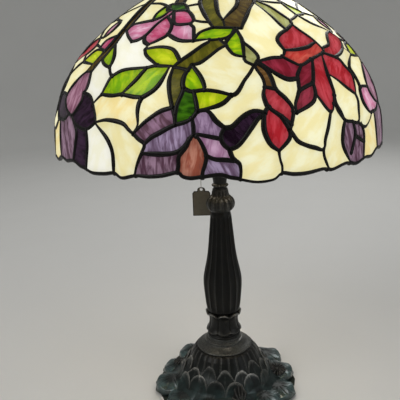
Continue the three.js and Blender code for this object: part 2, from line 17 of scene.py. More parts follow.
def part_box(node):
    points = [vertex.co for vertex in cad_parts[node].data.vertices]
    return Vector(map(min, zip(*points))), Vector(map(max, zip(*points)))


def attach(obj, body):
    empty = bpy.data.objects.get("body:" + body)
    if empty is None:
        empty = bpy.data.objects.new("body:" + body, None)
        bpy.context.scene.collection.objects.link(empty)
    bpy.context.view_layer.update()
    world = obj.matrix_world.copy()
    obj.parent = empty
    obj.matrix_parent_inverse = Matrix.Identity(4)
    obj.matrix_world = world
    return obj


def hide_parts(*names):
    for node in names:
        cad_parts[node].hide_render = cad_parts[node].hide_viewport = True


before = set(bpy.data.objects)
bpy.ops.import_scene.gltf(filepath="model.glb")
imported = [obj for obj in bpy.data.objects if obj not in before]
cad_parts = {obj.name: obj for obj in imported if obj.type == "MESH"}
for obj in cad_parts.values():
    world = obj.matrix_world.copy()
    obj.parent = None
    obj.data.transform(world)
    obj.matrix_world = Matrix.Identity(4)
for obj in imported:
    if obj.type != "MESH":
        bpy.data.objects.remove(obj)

bl_info = {
    "name": "Leaded Glass Table Lamp",
    "blender": (4, 5, 0),
    "version": (1, 0, 0),
    "location": "View3D > Sidebar > Lamp",
    "description": "Builds the visible pieces of a leaded glass table lamp on its packed frame",
    "category": "Object",
}

MM = 0.001
CLOSED_GAP = 0.05  # a lead line whose ends lie nearer than this is a loop
SEARCH = 30  # how far from a line's end another line is looked for, in degrees and in millimetres
MERGE = 1e-4  # points of the flat drawing nearer than this become one
TURNED_SIDES = 72  # sides of a small turned fitting
SECTORS = 3  # the flowering branch repeats this many times round the shade
SECTOR = 360 / SECTORS

# The cartoon: where the lead lines run over one sector, as (azimuth, rise) points that a smooth line passes
# through.

RIM_LINE = [
    (-54.5, 5.3), (-49.5, 8), (-45.5, 3.8), (-42.5, 2.2), (-39.5, -0.6), (-34.5, 0.5), (-30.6, 2.7),
    (-28, -1.5),
    (-23.5, 2), (-19.5, 1.6), (-15.5, 3), (-11, 6.6), (-9.6, 2.9), (-7.5, 1.2), (-4.3, 2.5), (0.4, 4),
    (3.4, 1.2),
    (6, -0.5), (10.4, -3.9), (15, -2.8), (17.4, 2.5), (21, 0), (25.4, -0.7), (31.4, 1.3), (34.4, -1),
    (40.4, 2.6),
    (45.4, -0.7), (50.4, 3), (55.4, 1.7), (60.4, 7.6),
]
CROWN_RISE = 272

LEAD_LINES = [
    # the violet bloom in the middle
    [(-23.7, 42.7), (-21, 52), (-18.9, 57.5), (-16.5, 62.8), (-14.9, 65.2), (-12.3, 67.2)],
    [(-12.3, 67.2), (-11.6, 59), (-11.3, 51.7)],
    [(-11.3, 51.7), (-13.6, 48.1), (-16.2, 43.2), (-18.3, 39.2), (-20.2, 33)],
    [(-23.7, 42.7), (-22.2, 38), (-20.2, 33), (-20.6, 27), (-21.4, 22), (-22.4, 15), (-23.1, 8), (-23.5, 2)],
    [(-11.3, 51.7), (-8.5, 53.9), (-6.8, 57), (-5.2, 64)],
    [(-6.8, 57), (-6.4, 50), (-6.3, 42)],
    [(-7.4, 39), (-8.6, 32), (-10.8, 26.2), (-14.3, 24), (-20.5, 24.4)],
    [(-6.3, 42), (-7.4, 38), (-8.4, 31), (-10.4, 22), (-10.6, 13), (-11, 6.6)],
    [(-6.3, 42), (-5, 38.6), (-3.8, 31), (-3, 22.5), (-3.3, 15), (-4, 8), (-4.3, 2.5)],
    [(-5.3, 42.3), (-2.2, 40.2), (1, 38)],
    [(-3, 22.5), (-0.8, 18.9), (2, 18.3), (4.3, 17)],
    [(1.9, 48), (1, 41), (1.2, 36), (2, 31.5), (3.2, 28)],
    [(3.2, 28), (5.4, 30.8), (7.4, 38), (9.4, 47), (11.4, 55.5), (13.4, 60)],
    [(1.9, 48), (4, 48.6), (6, 54.6), (8.1, 59.6), (10.6, 62.4), (13.4, 60)],
    [(3.2, 28), (3.4, 24), (4.2, 18.5), (5.8, 14), (6.2, 7), (6, -0.5)],
    [(-5.2, 64), (-2.4, 64.2), (-0.4, 55), (1.9, 48)],
    # leaves and twigs over it
    [(-11.3, 51.7), (-11.5, 60), (-11.1, 70), (-9.9, 80), (-9.3, 86)],
    [(-6.4, 82.9), (-5.6, 72), (-5.2, 64)],
    [(-9.3, 86), (-7.4, 83), (-6.4, 82.9), (-3.2, 84.2), (0.5, 82.4), (4.2, 78.5)],
    [(4.2, 78.5), (1.8, 71), (-2, 66.2), (-5.2, 64)],
    [(-7.3, 110.5), (-9.3, 101), (-9.8, 91), (-9.3, 86)],
    [(-7.3, 110.5), (-4.6, 98.5), (-3.3, 88), (-3.4, 84.2)],
    [(-13.4, 108.6), (-14.1, 97), (-14, 89.5), (-13.4, 79), (-12.3, 67.2)],
    [(-13.4, 108.6), (-11, 107.4), (-8.7, 105.2)],
    [(-7.8, 140.4), (-1.6, 140.6), (-4.6, 134), (-8.7, 123), (-11.3, 116), (-13.4, 108.6)],
    [(4, 132.6), (1.2, 128.2), (-3, 117.2), (-5.2, 112.2), (-7.3, 110.5)],
    [(-11.5, 115.2), (-12.5, 121), (-14.4, 129), (-17, 132.7), (-21, 133.6), (-25.6, 131)],
    [(-13.4, 109), (-15.8, 110), (-19.2, 111.3), (-22.2, 118), (-24.7, 125), (-25.6, 131)],
    [
        (-37.4, 79.6), (-36.8, 88), (-35.9, 98), (-34.6, 101.5), (-32.4, 105.7), (-29.2, 107.7),
        (-26, 108.2), (-22.6, 108.8)
    ],
    [(-22.6, 108.8), (-20.8, 110.4), (-19.2, 111.3)],
    [(-37.4, 79.6), (-33, 79), (-29.2, 80.4), (-24.8, 78), (-22.2, 77.3)],
    [(-29.2, 80.4), (-26.9, 89.5), (-25.3, 96), (-24, 102.5), (-22.6, 108.8)],
    [(-22.2, 77.3), (-19.2, 83.5), (-17.5, 89.3), (-15.7, 99.7), (-14.4, 109.3)],
    [(-7.8, 140.4), (-6, 151), (-2.8, 156.3), (-0.5, 158.6)],
    [(-1.6, 140.6), (1.6, 141.2), (4.6, 143.6), (6.6, 148.5), (8.2, 156.8)],
    [(9.4, 118.5), (6.3, 121.5), (4.6, 128), (3.6, 134.5), (4.8, 141.3), (7.9, 152.5), (8.2, 156.8)],
    [(9.4, 118.5), (9.8, 130), (9.9, 141), (8.7, 153), (8.2, 156.8)],
    [(3.9, 133), (1.6, 141)],
    # the two trunks
    [(-6, 272), (-7.2, 240), (-8.4, 210), (-8, 200), (-3.6, 174), (-0.5, 158.6)],
    [(7, 272), (3.4, 240), (1.2, 210), (2, 182), (3.8, 169.5)],
    [(20, 272), (17.6, 235), (14, 207), (11.6, 195), (7.4, 182), (3.8, 169.5)],
    [(-0.5, 158.6), (4, 157.8), (8.2, 156.8), (10.6, 156.4)],
    [(3.8, 169.5), (4, 157.8)],
    [(22.8, 199), (21.4, 196), (17.6, 185.5), (12.2, 164.8), (10.6, 156.4)],
    [(32, 272), (29, 235), (25.5, 208), (30.9, 194.5), (33.8, 181.5), (36.3, 167.5), (35.4, 161.5)],
    [(22.8, 199), (25.8, 184), (27.8, 171), (29.1, 160), (30.2, 153.2)],
    [(22.8, 199), (25.5, 208)],
    [(-9.7, 171), (-5.4, 167.8), (-2, 167)],
    # cream background on the left
    [(-37.9, 50.8), (-34.1, 40), (-32, 31), (-30.9, 20.8), (-30.7, 2.7)],
    [(-37.9, 50.8), (-34.5, 53.5), (-32, 53.9), (-29.5, 53.2), (-27.1, 51), (-25.5, 46.8), (-23.7, 42.7)],
    [(-22.2, 77.3), (-22.9, 71), (-22.9, 62.6), (-22.5, 55.6), (-22.4, 49.6), (-23.7, 42.7)],
    [(-37.4, 79.6), (-38.8, 75), (-40.2, 69.6)],
    [(-38.6, 110.6), (-36.8, 102.8), (-35.4, 99.4)],
    [(-25, 137), (-25.6, 131)],
    [(12.2, 108), (10.8, 100.6), (8.8, 92.7), (6.8, 83.9), (5.5, 79.7), (4.2, 78.5)],
    [(9.4, 118.5), (9.6, 113.5), (12.2, 108)],
    # the pink bloom
    [(-20.9, 188), (-23.3, 189), (-25.8, 180), (-29, 175.2), (-36.9, 171.2), (-40, 168.6), (-42, 159.5)],
    [(-42, 159.5), (-38.4, 151), (-34, 142.6)],
    [
        (-34, 142.6), (-31.2, 144.5), (-28.7, 150.5), (-26.7, 164.5), (-24.7, 173.6), (-22.2, 180.8),
        (-20.9, 188)
    ],
    [(-22.8, 179), (-18.8, 166), (-18.7, 151), (-21.4, 143.5), (-25, 136.8)],
    [(-25, 136.8), (-27.8, 142), (-28.9, 149.5)],
    [(-20.9, 188), (-19.6, 178), (-17, 166), (-10.4, 165.6)],
    [(-20.9, 188), (-13.4, 187.6), (-9.2, 172), (-10.4, 165.6), (-8.7, 160), (-8.2, 152), (-7.8, 140.4)],
    [(-7.8, 140.4), (-13.3, 142), (-18.7, 151)],
    [(-23.3, 189), (-26.2, 201), (-22.8, 202.6), (-18, 202.4), (-14.9, 196.5), (-13.4, 187.6)],
    [(-25.4, 190), (-27.6, 199.5), (-30.6, 187), (-30.2, 175.2)],
    [(-22.8, 202.6), (-25, 230), (-25.5, 272)],
    [(-18, 202.4), (-17.8, 230), (-16.5, 272)],
    # the left stem, its leaves and petals
    [
        (-54, 272), (-52.6, 232), (-49.8, 206), (-47.2, 184), (-45.7, 165), (-45.6, 154), (-45.8, 144),
        (-46.5, 134), (-47.6, 121), (-50.8, 104)
    ],
    [
        (-46, 272), (-46, 232), (-43.7, 206), (-42.2, 184), (-41.2, 165), (-41.6, 154), (-42, 144),
        (-43, 134), (-44.5, 121), (-47.6, 104)
    ],
    [(-50.8, 104), (-47.6, 104)],
    [(-59.1, 116.6), (-54.8, 130.5), (-50.5, 133), (-46.8, 130.5)],
    [(-59.1, 116.6), (-54.5, 114.8), (-50.3, 113), (-49, 112)],
    [(-42.6, 141), (-40.8, 132.5), (-38.8, 121.5), (-38.6, 110.6), (-42.5, 114), (-44.7, 119)],
    [(-57.5, 178), (-60, 165), (-57, 151), (-54.4, 160), (-54.8, 172), (-57.5, 178)],
    [(-46.1, 152), (-51.4, 146), (-52, 135), (-50.5, 133)],
    # the dark violet bloom between two sectors
    [(-47.2, 80.5), (-43, 77.5), (-40.2, 69.6), (-39.4, 64.5), (-38.4, 57.5), (-37.9, 50.8)],
    [(-37.9, 50.8), (-41.8, 43.3), (-45.4, 44), (-49, 48), (-51.2, 55.2)],
    [
        (-47.6, 104), (-46.3, 92), (-46.2, 84), (-47.2, 80.5), (-46.8, 74), (-47.4, 69.5), (-49.6, 60),
        (-51.2, 55.2)
    ],
    [(-50.8, 104), (-54.2, 97), (-58.7, 83), (-59.6, 72), (-56.7, 61.5), (-53.4, 56.5), (-51.2, 55.2)],
    [
        (-59.4, 76.4), (-66, 77.2), (-67.4, 66), (-66.4, 57), (-64, 48.6), (-60.8, 48.6), (-57, 49.8),
        (-53.4, 56.5)
    ],
    [(-60.8, 48.6), (-60.2, 36), (-59.8, 24), (-59.2, 7)],
    [(-49, 48), (-47.3, 39), (-47.7, 28), (-49, 13), (-49.6, 7.6)],
    [(-41.8, 43.3), (-41.5, 34), (-41.5, 22), (-42.3, 2.2)],
    # the red bloom
    [(9.9, 137), (12.6, 128), (14.2, 119.5), (13.9, 113), (12.2, 108)],
    [(35.4, 161.5), (36.7, 154), (40.8, 136.3), (38.5, 132.2), (35.4, 128.6), (29.8, 125.8), (24.6, 124.8)],
    [(24.6, 124.8), (23.7, 138), (26, 146.5), (30.2, 153.2), (35.4, 161.5)],
    [(13.8, 112.8), (18.8, 116.6), (22.8, 117.4), (24.6, 124.8)],
    [(22.8, 117.4), (26.1, 110.2), (28.7, 106.6), (34.2, 112.8), (40.3, 118.6), (42.3, 124), (40.8, 136.3)],
    [(13.7, 112.4), (16.7, 103.8), (19.5, 97), (22.4, 92.2), (25.8, 92.6)],
    [(28.7, 106.6), (26, 96), (25.6, 88), (25.2, 79.8)],
    [
        (34.2, 112.8), (33, 103), (31.6, 92), (30.7, 86.5), (28.4, 84), (25.2, 79.8), (24.4, 75.5),
        (22.8, 66), (22.9, 58.6)
    ],
    [(30.8, 86.5), (30.5, 73.5), (28.4, 65.8), (22.9, 58.6)],
    [(30.8, 73), (34.8, 56), (36.8, 64), (38.2, 74), (38.3, 83), (38.5, 98), (39.6, 117.6)],
    [(41.2, 120), (48.1, 112.8), (49.8, 103.3), (51.5, 93), (50.6, 83), (48.8, 71)],
    [(48.8, 71), (44.5, 80.5), (41.8, 87.3), (38.6, 93.5)],
    [(59, 150), (62.8, 140), (59.7, 128.5), (53.3, 119), (46.8, 113.8)],
    [(42.3, 123), (43.5, 126.8), (48.3, 131), (50.7, 138), (54.8, 147.5), (59, 150)],
    [(35.4, 161.5), (36.3, 167.5), (40, 172), (44.4, 177.5)],
    [(44.4, 177.5), (43.6, 195), (44.2, 211), (46.2, 200.5), (52.8, 183), (44.4, 177.5)],
    [(48, 272), (47, 240), (44.2, 211)],
    [(44.6, 178), (50, 164), (55, 157), (59, 150)],
    [(52.8, 183), (57.5, 181), (62.5, 178)],
    [(59, 150), (63, 151)],
    [(62.8, 140), (68, 136)],
    [(60.9, 116.6), (59.4, 122), (58.2, 125.6)],
    # red slips and cream between the two blooms
    [
        (12.2, 108), (12.6, 103), (13.8, 95), (14.2, 86), (13.7, 79), (13.9, 72), (14.8, 64.5),
        (17.8, 56.7), (20.8, 47.8)
    ],
    [(13.2, 110.8), (15.8, 104), (16.9, 95), (17.6, 82.5), (20.4, 72), (22, 61.5), (20.8, 47.8), (20.2, 43)],
    [(14.1, 85), (17.6, 82.5)],
    [(14.6, 65), (13.4, 60), (12.9, 51), (13, 42), (14.4, 31), (16.7, 23.8)],
    [(18.2, 55.6), (20.2, 43), (19.9, 34), (16.7, 23.8)],
    [(16.7, 23.8), (16.8, 16), (17.4, 9), (17.4, 2.5)],
    [
        (20.2, 43), (21, 38.5), (22.6, 31.3), (25.4, 26.4), (28.2, 23.2), (30.9, 20.5), (31.7, 30),
        (33.1, 40.5), (34.8, 56)
    ],
    [(22.2, 60), (22.9, 58.6)],
    [(30.9, 20.5), (31, 15), (31.5, 9.5), (32.6, 1)],
    [(36.6, 63.5), (37.6, 56), (40.4, 46)],
    [
        (38, 72), (37.9, 64), (39.2, 55), (40.4, 46), (43.5, 43.6), (47, 42), (48.4, 54), (49.3, 63.5),
        (48.8, 71)
    ],
    [(60.9, 116.6), (57, 110.8), (53, 101), (53.4, 92), (53.9, 84), (54, 77.2)],
    [(47, 42), (49.2, 37.2), (51.8, 36.3), (56, 45), (56.6, 48.6)],
    [(40.4, 46), (39.4, 38), (38.7, 25.5), (39.5, 16), (42, 2)],
    [(48.3, 41), (49.8, 30), (49.6, 16), (49.4, 1.5)],
    [(44, 43.4), (44.8, 30.3), (42.6, 12)],
    [(44.8, 29), (49.6, 20)],
    # the sky round the crown
    [(-46, 236), (-36, 240), (-25.2, 237)],
    [(-43.8, 208), (-34, 206), (-27.6, 199.5)],
    [(-17.8, 226), (-12, 230), (-7.6, 228)],
    [(-14.9, 196.5), (-11, 199), (-8, 200)],
    [(2.8, 232), (10, 236), (17.4, 232)],
    [(29, 236), (38, 241), (46.8, 238)],
    [(47, 234), (57, 238), (67.2, 234)],
    [(26.6, 205), (34, 203), (43.8, 202)],
    [(51, 188), (60, 200), (69.8, 208)],
]

# Which glass lies at a point of the cartoon, in every sector. Background glass fills what is left.
GLASS_AT = [
    ("umber", -17, 52), ("lilac", -14, 38), ("plum", -17, 14), ("orange", -7, 20), ("violet", -2.5, 50),
    ("rose_lilac", -0.5, 28), ("lilac", 0.5, 10), ("night", 7, 50), 
    ("forest", -8.5, 68), ("lime", -1, 75), ("grass", -6.5, 98), ("olive", -12.2, 90), ("olive", -6, 121),
    ("olive", -2, 131), ("lime", -19, 122), ("grass", -31, 92), ("grass", -22, 94), ("grass", 1, 149),
    ("grass", 6.8, 134), ("olive", -2, 190), ("olive", -1.5, 235), ("bark", 9, 180), ("bark", 23.5, 235),
    ("sage", 30, 180), ("bark", 19, 200), ("pink", -33, 160), ("rose", -22.5, 158), ("rose", -15, 177),
    ("pink", -13.5, 155), ("forest", -19.5, 196), ("grass", -28.5, 186), ("bark", -21, 240),
    ("bark", -43.5, 150),
    ("bark", -49, 240), ("lime", -51, 122), ("grass", -41.5, 126), ("pink", -57, 165), ("rose", -48.5, 143),
    ("night", -43.5, 60), ("mauve", -52, 80), ("night", -48.4, 62), ("pink", -62, 63), ("plum", -55, 35),
    ("night", -45, 28), ("sage", 11.8, 123), ("red", 31, 142), ("vermilion", 36, 122), ("crimson", 21, 106),
    ("crimson", 29.4, 97), ("crimson", 27, 73), ("red", 35, 90), ("red", 45, 98), ("red", 52, 129),
    ("lime", 47, 190), ("cinnamon", 15.2, 96), ("red", 17.5, 70), ("red", 16.3, 42), ("olive", 37.7, 61),
    ("plum", 41, 30), ("plum", 46.5, 35), ("amber", 54.5, 28), ("white", -30, 128),
    ("white", -42, 100), ("amber", -33, 65), ("white", -36, 20),
]

# Panes whose glass is the cutter's own choice in one sector only
SINGLE_GLASS_AT = [("night", -62, 63)]

BACKGROUND_GLASS = "cream"

# Each glass: its body colour, the colour of its streaks, the colour of its flecks, and how far the streaks
# are drawn out.
GLASSES = {
    "cream": ((0.90, 0.81, 0.42), (0.95, 0.92, 0.62), (0.93, 0.73, 0.25), 2.2),
    "white": ((0.93, 0.91, 0.72), (0.96, 0.95, 0.84), (0.90, 0.80, 0.50), 2.0),
    "amber": ((0.92, 0.75, 0.32), (0.94, 0.87, 0.52), (0.90, 0.60, 0.17), 2.4),
    "lime": ((0.42, 0.58, 0.001), (0.66, 0.74, 0.02), (0.16, 0.36, 0.0), 2.6),
    "grass": ((0.19, 0.42, 0.001), (0.44, 0.62, 0.003), (0.04, 0.18, 0.0), 2.6),
    "forest": ((0.010, 0.050, 0.001), (0.05, 0.17, 0.004), (0.002, 0.012, 0.0), 2.6),
    "olive": ((0.085, 0.080, 0.003), (0.17, 0.15, 0.010), (0.035, 0.025, 0.001), 3.0),
    "sage": ((0.36, 0.36, 0.10), (0.52, 0.54, 0.22), (0.20, 0.17, 0.03), 3.0),
    "bark": ((0.055, 0.030, 0.004), (0.13, 0.085, 0.012), (0.02, 0.010, 0.002), 3.4),
    "cinnamon": ((0.16, 0.075, 0.015), (0.28, 0.15, 0.05), (0.06, 0.025, 0.006), 3.4),
    "umber": ((0.11, 0.050, 0.075), (0.30, 0.17, 0.26), (0.04, 0.015, 0.022), 4.0),
    "pink": ((0.60, 0.17, 0.31), (0.78, 0.46, 0.60), (0.50, 0.06, 0.15), 2.6),
    "rose": ((0.53, 0.055, 0.15), (0.72, 0.24, 0.38), (0.30, 0.02, 0.07), 2.6),
    "rose_lilac": ((0.36, 0.17, 0.30), (0.58, 0.36, 0.52), (0.16, 0.05, 0.10), 3.6),
    "red": ((0.38, 0.012, 0.020), (0.56, 0.055, 0.075), (0.15, 0.004, 0.010), 3.0),
    "vermilion": ((0.50, 0.030, 0.024), (0.64, 0.10, 0.07), (0.24, 0.010, 0.010), 3.0),
    "crimson": ((0.19, 0.006, 0.018), (0.34, 0.025, 0.055), (0.06, 0.002, 0.006), 3.0),
    "orange": ((0.27, 0.070, 0.042), (0.46, 0.20, 0.14), (0.15, 0.045, 0.06), 4.0),
    "lilac": ((0.125, 0.075, 0.13), (0.38, 0.29, 0.44), (0.04, 0.014, 0.035), 4.2),
    "violet": ((0.15, 0.080, 0.16), (0.38, 0.26, 0.40), (0.05, 0.016, 0.05), 4.2),
    "plum": ((0.085, 0.036, 0.060), (0.32, 0.20, 0.28), (0.02, 0.007, 0.017), 4.2),
    "mauve": ((0.22, 0.075, 0.13), (0.46, 0.24, 0.33), (0.04, 0.010, 0.03), 4.2),
    "night": ((0.008, 0.002, 0.008), (0.038, 0.016, 0.040), (0.002, 0.001, 0.002), 4.0),
}

# Small geometry helpers


def catmull_rom(points, steps, closed=False):
    """Points on a smooth curve through the given tuples of numbers. A repeated point makes a corner."""
    count = len(points)
    out = []
    for i in range(count if closed else count - 1):
        if closed:
            p0, p1, p2, p3 = (points[(i + k) % count] for k in (-1, 0, 1, 2))
        else:
            p0, p1, p2, p3 = (points[min(max(i + k, 0), count - 1)] for k in (-1, 0, 1, 2))
        for s in range(steps):
            t = s / steps
            out.append(tuple(
                0.5 * (
                    2 * b + (c - a) * t + (2 * a - 5 * b + 4 * c - d) * t * t
                    + (3 * b - a - 3 * c + d) * t ** 3
                )
                for a, b, c, d in zip(p0, p1, p2, p3)
            ))
    if not closed:
        out.append(tuple(points[-1]))
    return out


def make_piece(name, verts, faces, body, materials, replaces=(), angle=40, face_materials=None):
    """A mesh object from vertices and faces, shaded smooth up to an angle, riding on a CAD body."""
    mesh = bpy.data.meshes.new(name)
    mesh.from_pydata([tuple(v) for v in verts], [], faces)
    for material in materials:
        mesh.materials.append(material)
    if face_materials:
        mesh.polygons.foreach_set("material_index", face_materials)
    mesh.validate()
    mesh.shade_smooth()
    mesh.set_sharp_from_angle(angle=math.radians(angle))
    obj = bpy.data.objects.new(name, mesh)
    bpy.context.scene.collection.objects.link(obj)
    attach(obj, body)
    if replaces:
        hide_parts(*replaces)
    return obj


def loft(rings, closed_profile, cap_start=False, cap_end=False):
    """Vertices and faces of a skin through rings of equal length."""
    verts = [v for ring in rings for v in ring]
    n = len(rings[0])
    faces = []
    for j in range(len(rings) if closed_profile else len(rings) - 1):
        a, b = j * n, ((j + 1) % len(rings)) * n
        faces += [(a + i, a + (i + 1) % n, b + (i + 1) % n, b + i) for i in range(n)]
    if cap_start:
        faces.append(tuple(reversed(range(n))))
    if cap_end:
        faces.append(tuple(range(len(verts) - n, len(verts))))
    return verts, faces


def turned(profile, segments, shape=None, closed_profile=True):
    """A skin turned about Z from (radius, height) points. shape(angle, radius, height) may move a point."""
    rings = []
    for r, z in profile:
        ring = []
        for i in range(segments):
            a = 2 * math.pi * i / segments
            ra, za = shape(a, r, z) if shape else (r, z)
            ring.append(Vector((ra * math.cos(a), ra * math.sin(a), za)))
        rings.append(ring)
    return loft(rings, closed_profile)


def along(direction, elevation, height):
    """The frame of a socket: +Z runs out along it from the lamp's axis, and +X points down."""
    tilt = Matrix.Rotation(math.radians(90 - elevation), 4, "Y")
    return Matrix.Translation((0, 0, height)) @ Matrix.Rotation(direction, 4, "Z") @ tilt


def smoothstep(low, high, value):
    t = min(max((value - low) / (high - low), 0), 1)
    return t * t * (3 - 2 * t)


# The dome


class Dome:
    """The shade's curve: points by azimuth and rise, from the settings and the lead frame's box."""

    STEPS = 800

    def __init__(self, s):
        low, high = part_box("lead_frame")
        self.radius = high.x - s.came_thickness / 2
        self.rim = low.z
        self.table = []
        arc = 0.0
        for i in range(self.STEPS):
            z = s.dome_height * i / self.STEPS
            r = self.radius * (1 - (z / s.dome_height) ** s.fullness) ** (1 / s.shoulder)
            if i:
                arc += math.hypot(z - self.table[-1][2], r - self.table[-1][1])
            self.table.append((arc, r, z))

    def curve(self, arc):
        """Radius, height and slope (dr, dz per metre of arc) at an arc length from the rim."""
        if arc <= 0:
            return self.radius, self.rim + arc, 0.0, 1.0
        lo, hi = 1, self.STEPS - 1
        while lo < hi:
            mid = (lo + hi) // 2
            if self.table[mid][0] < arc:
                lo = mid + 1
            else:
                hi = mid
        (a0, r0, z0), (a1, r1, z1) = self.table[lo - 1], self.table[lo]
        t = (arc - a0) / (a1 - a0)
        return r0 + t * (r1 - r0), self.rim + z0 + t * (z1 - z0), (r1 - r0) / (a1 - a0), (z1 - z0) / (a1 - a0)

    def point(self, azimuth, rise, out=0.0):
        r, z, dr, dz = self.curve(rise * MM)
        a = math.radians(azimuth)
        r, z = r + out * dz, z - out * dr
        return Vector((r * math.sin(a), -r * math.cos(a), z))

    def normal(self, azimuth, rise):
        _, _, dr, dz = self.curve(rise * MM)
        a = math.radians(azimuth)
        return Vector((dz * math.sin(a), -dz * math.cos(a), -dr))

    def degree_mm(self, rise):
        """How many millimetres a degree of azimuth is at a rise."""
        return self.curve(rise * MM)[0] / MM * math.pi / 180


class Cartoon:
    """The lead lines as smooth polylines, and the panes that they enclose."""

    COPIES = (-SECTOR, 0, SECTOR)
    STRETCH = 2.4  # millimetres of the flat drawing to a degree of azimuth

    def __init__(self, dome, s):
        self.dome = dome
        self.join = s.join_distance / MM
        self.step = s.line_step / MM
        rim = catmull_rom(RIM_LINE + [(RIM_LINE[0][0] + SECTOR, RIM_LINE[0][1])], 5)
        crown = [(a, CROWN_RISE) for a in range(-60, 61, 3)]
        self.rim = rim
        self.lines = [self.evened(catmull_rom(points, 8)) for points in LEAD_LINES]
        borders = [rim, crown]
        everything = [[(a + c, v) for a, v in line] for line in self.lines + borders for c in self.COPIES]
        self.lines = [self.joined(k, line, everything) for k, line in enumerate(self.lines)]
        self.borders = borders

    def distance(self, p, q):
        return math.hypot((p[0] - q[0]) * self.dome.degree_mm((p[1] + q[1]) / 2), p[1] - q[1])

    def evened(self, line):
        """The same line with points no closer together than the step, except its end."""
        out = [line[0]]
        for p in line[1:-1]:
            if self.distance(out[-1], p) >= self.step:
                out.append(p)
        if len(out) > 1 and self.distance(out[-1], line[-1]) < self.step / 2:
            out.pop()
        return out + [line[-1]]

    def joined(self, k, line, everything):
        """The line with both ends run onto the nearest other line, if one is close."""
        closed = self.distance(line[0], line[-1]) < CLOSED_GAP
        if closed:
            return line
        mine = {k * len(self.COPIES) + 1}
        for end in (0, -1):
            tip = line[end]
            best, place = self.join, None
            scale = self.dome.degree_mm(tip[1])
            for n, other in enumerate(everything):
                if n in mine:
                    continue
                for p, q in zip(other, other[1:]):
                    if abs(p[1] - tip[1]) > SEARCH or abs(p[0] - tip[0]) > SEARCH:
                        continue
                    dx, dy = (q[0] - p[0]) * scale, q[1] - p[1]
                    length = dx * dx + dy * dy
                    if length == 0:
                        continue
                    t = min(max(((tip[0] - p[0]) * scale * dx + (tip[1] - p[1]) * dy) / length, 0), 1)
                    near = (p[0] + t * (q[0] - p[0]), p[1] + t * (q[1] - p[1]))
                    d = self.distance(tip, near)
                    if d < best:
                        best, place = d, near
            if place is None or best < 1e-6:
                continue
            # a hair past the other line, so that the two surely meet
            over = 0.15 / max(best, 0.5)
            place = tuple(b + (b - a) * over for a, b in zip(tip, place))
            line = [place] + line if end == 0 else line + [place]
        return line

    def panes(self, s):
        """Closed regions of the drawing as (vertices, triangles), with vertices as (azimuth, rise)."""
        verts, edges = [], []
        for line in self.lines + self.borders:
            for c in self.COPIES:
                start = len(verts)
                verts += [Vector(((a + c) * self.STRETCH, v)) for a, v in line]
                edges += [(i, i + 1) for i in range(start, len(verts) - 1)]
        spacing = s.pane_grid / MM
        rows = int(CROWN_RISE / spacing) + 1
        for j in range(rows):
            v = (j + 0.5) * spacing
            if v > CROWN_RISE - 2:
                break
            count = max(12, int(2 * SECTOR * self.dome.degree_mm(v) / spacing))
            for i in range(count):
                a = -SECTOR + 2 * SECTOR * (i + 0.5 * (j % 2)) / count
                verts.append(Vector((a * self.STRETCH, v)))
        points, triangles, walls = self.triangulated(verts, edges)
        owner = {}
        for t, tri in enumerate(triangles):
            for a, b in zip(tri, tri[1:] + tri[:1]):
                owner.setdefault((min(a, b), max(a, b)), []).append(t)
        region = [-1] * len(triangles)
        regions = []
        for seed in range(len(triangles)):
            if region[seed] >= 0:
                continue
            members, stack, outside = [], [seed], False
            region[seed] = len(regions)
            while stack:
                t = stack.pop()
                members.append(t)
                tri = triangles[t]
                for a, b in zip(tri, tri[1:] + tri[:1]):
                    key = (min(a, b), max(a, b))
                    if key in walls:
                        continue
                    sides = owner[key]
                    outside = outside or len(sides) < 2
                    for other in sides:
                        if region[other] < 0:
                            region[other] = region[seed]
                            stack.append(other)
            regions.append((members, outside))
        out = []
        for members, outside in regions:
            if outside:
                continue
            used = sorted({i for t in members for i in triangles[t]})
            place = {i: n for n, i in enumerate(used)}
            flat = [(points[i].x / self.STRETCH, points[i].y) for i in used]
            tris = [tuple(place[i] for i in triangles[t]) for t in members]
            out.append((flat, tris))
        return out

    @staticmethod
    def triangulated(verts, edges):
        """The points and triangles of the flat drawing, and those of their edges that lie on a lead line."""
        points, made, faces, _, edge_sources, _ = delaunay_2d_cdt(verts, edges, [], 0, MERGE, True)
        walls = {(min(e), max(e)) for e, sources in zip(made, edge_sources) if sources}
        return points, [tuple(f) for f in faces], walls


def region_centre(flat, tris):
    """Area and centroid of a region in the flat drawing."""
    area = x = y = 0.0
    for i, j, k in tris:
        (ax, ay), (bx, by), (cx, cy) = flat[i], flat[j], flat[k]
        w = abs((bx - ax) * (cy - ay) - (cx - ax) * (by - ay)) / 2
        area += w
        x += w * (ax + bx + cx) / 3
        y += w * (ay + by + cy) / 3
    return area, x / max(area, 1e-9), y / max(area, 1e-9)


def region_holds(flat, tris, a, v):
    for i, j, k in tris:
        signs = []
        for p, q in ((i, j), (j, k), (k, i)):
            (px, py), (qx, qy) = flat[p], flat[q]
            signs.append((qx - px) * (v - py) - (qy - py) * (a - px) >= 0)
        if all(signs) or not any(signs):
            return True
    return False


# Settings


def size(name, description, default):
    return FloatProperty(
        name=name, description=description, default=default, min=0, precision=4, unit="LENGTH",
        subtype="DISTANCE"
    )


def tint(name, description, default):
    return FloatVectorProperty(
        name=name, description=description, default=default, min=0, max=1, size=3, subtype="COLOR"
    )


def share(name, description, default, high=1.0):
    return FloatProperty(
        name=name, description=description, default=default, min=0, max=high, subtype="FACTOR"
    )


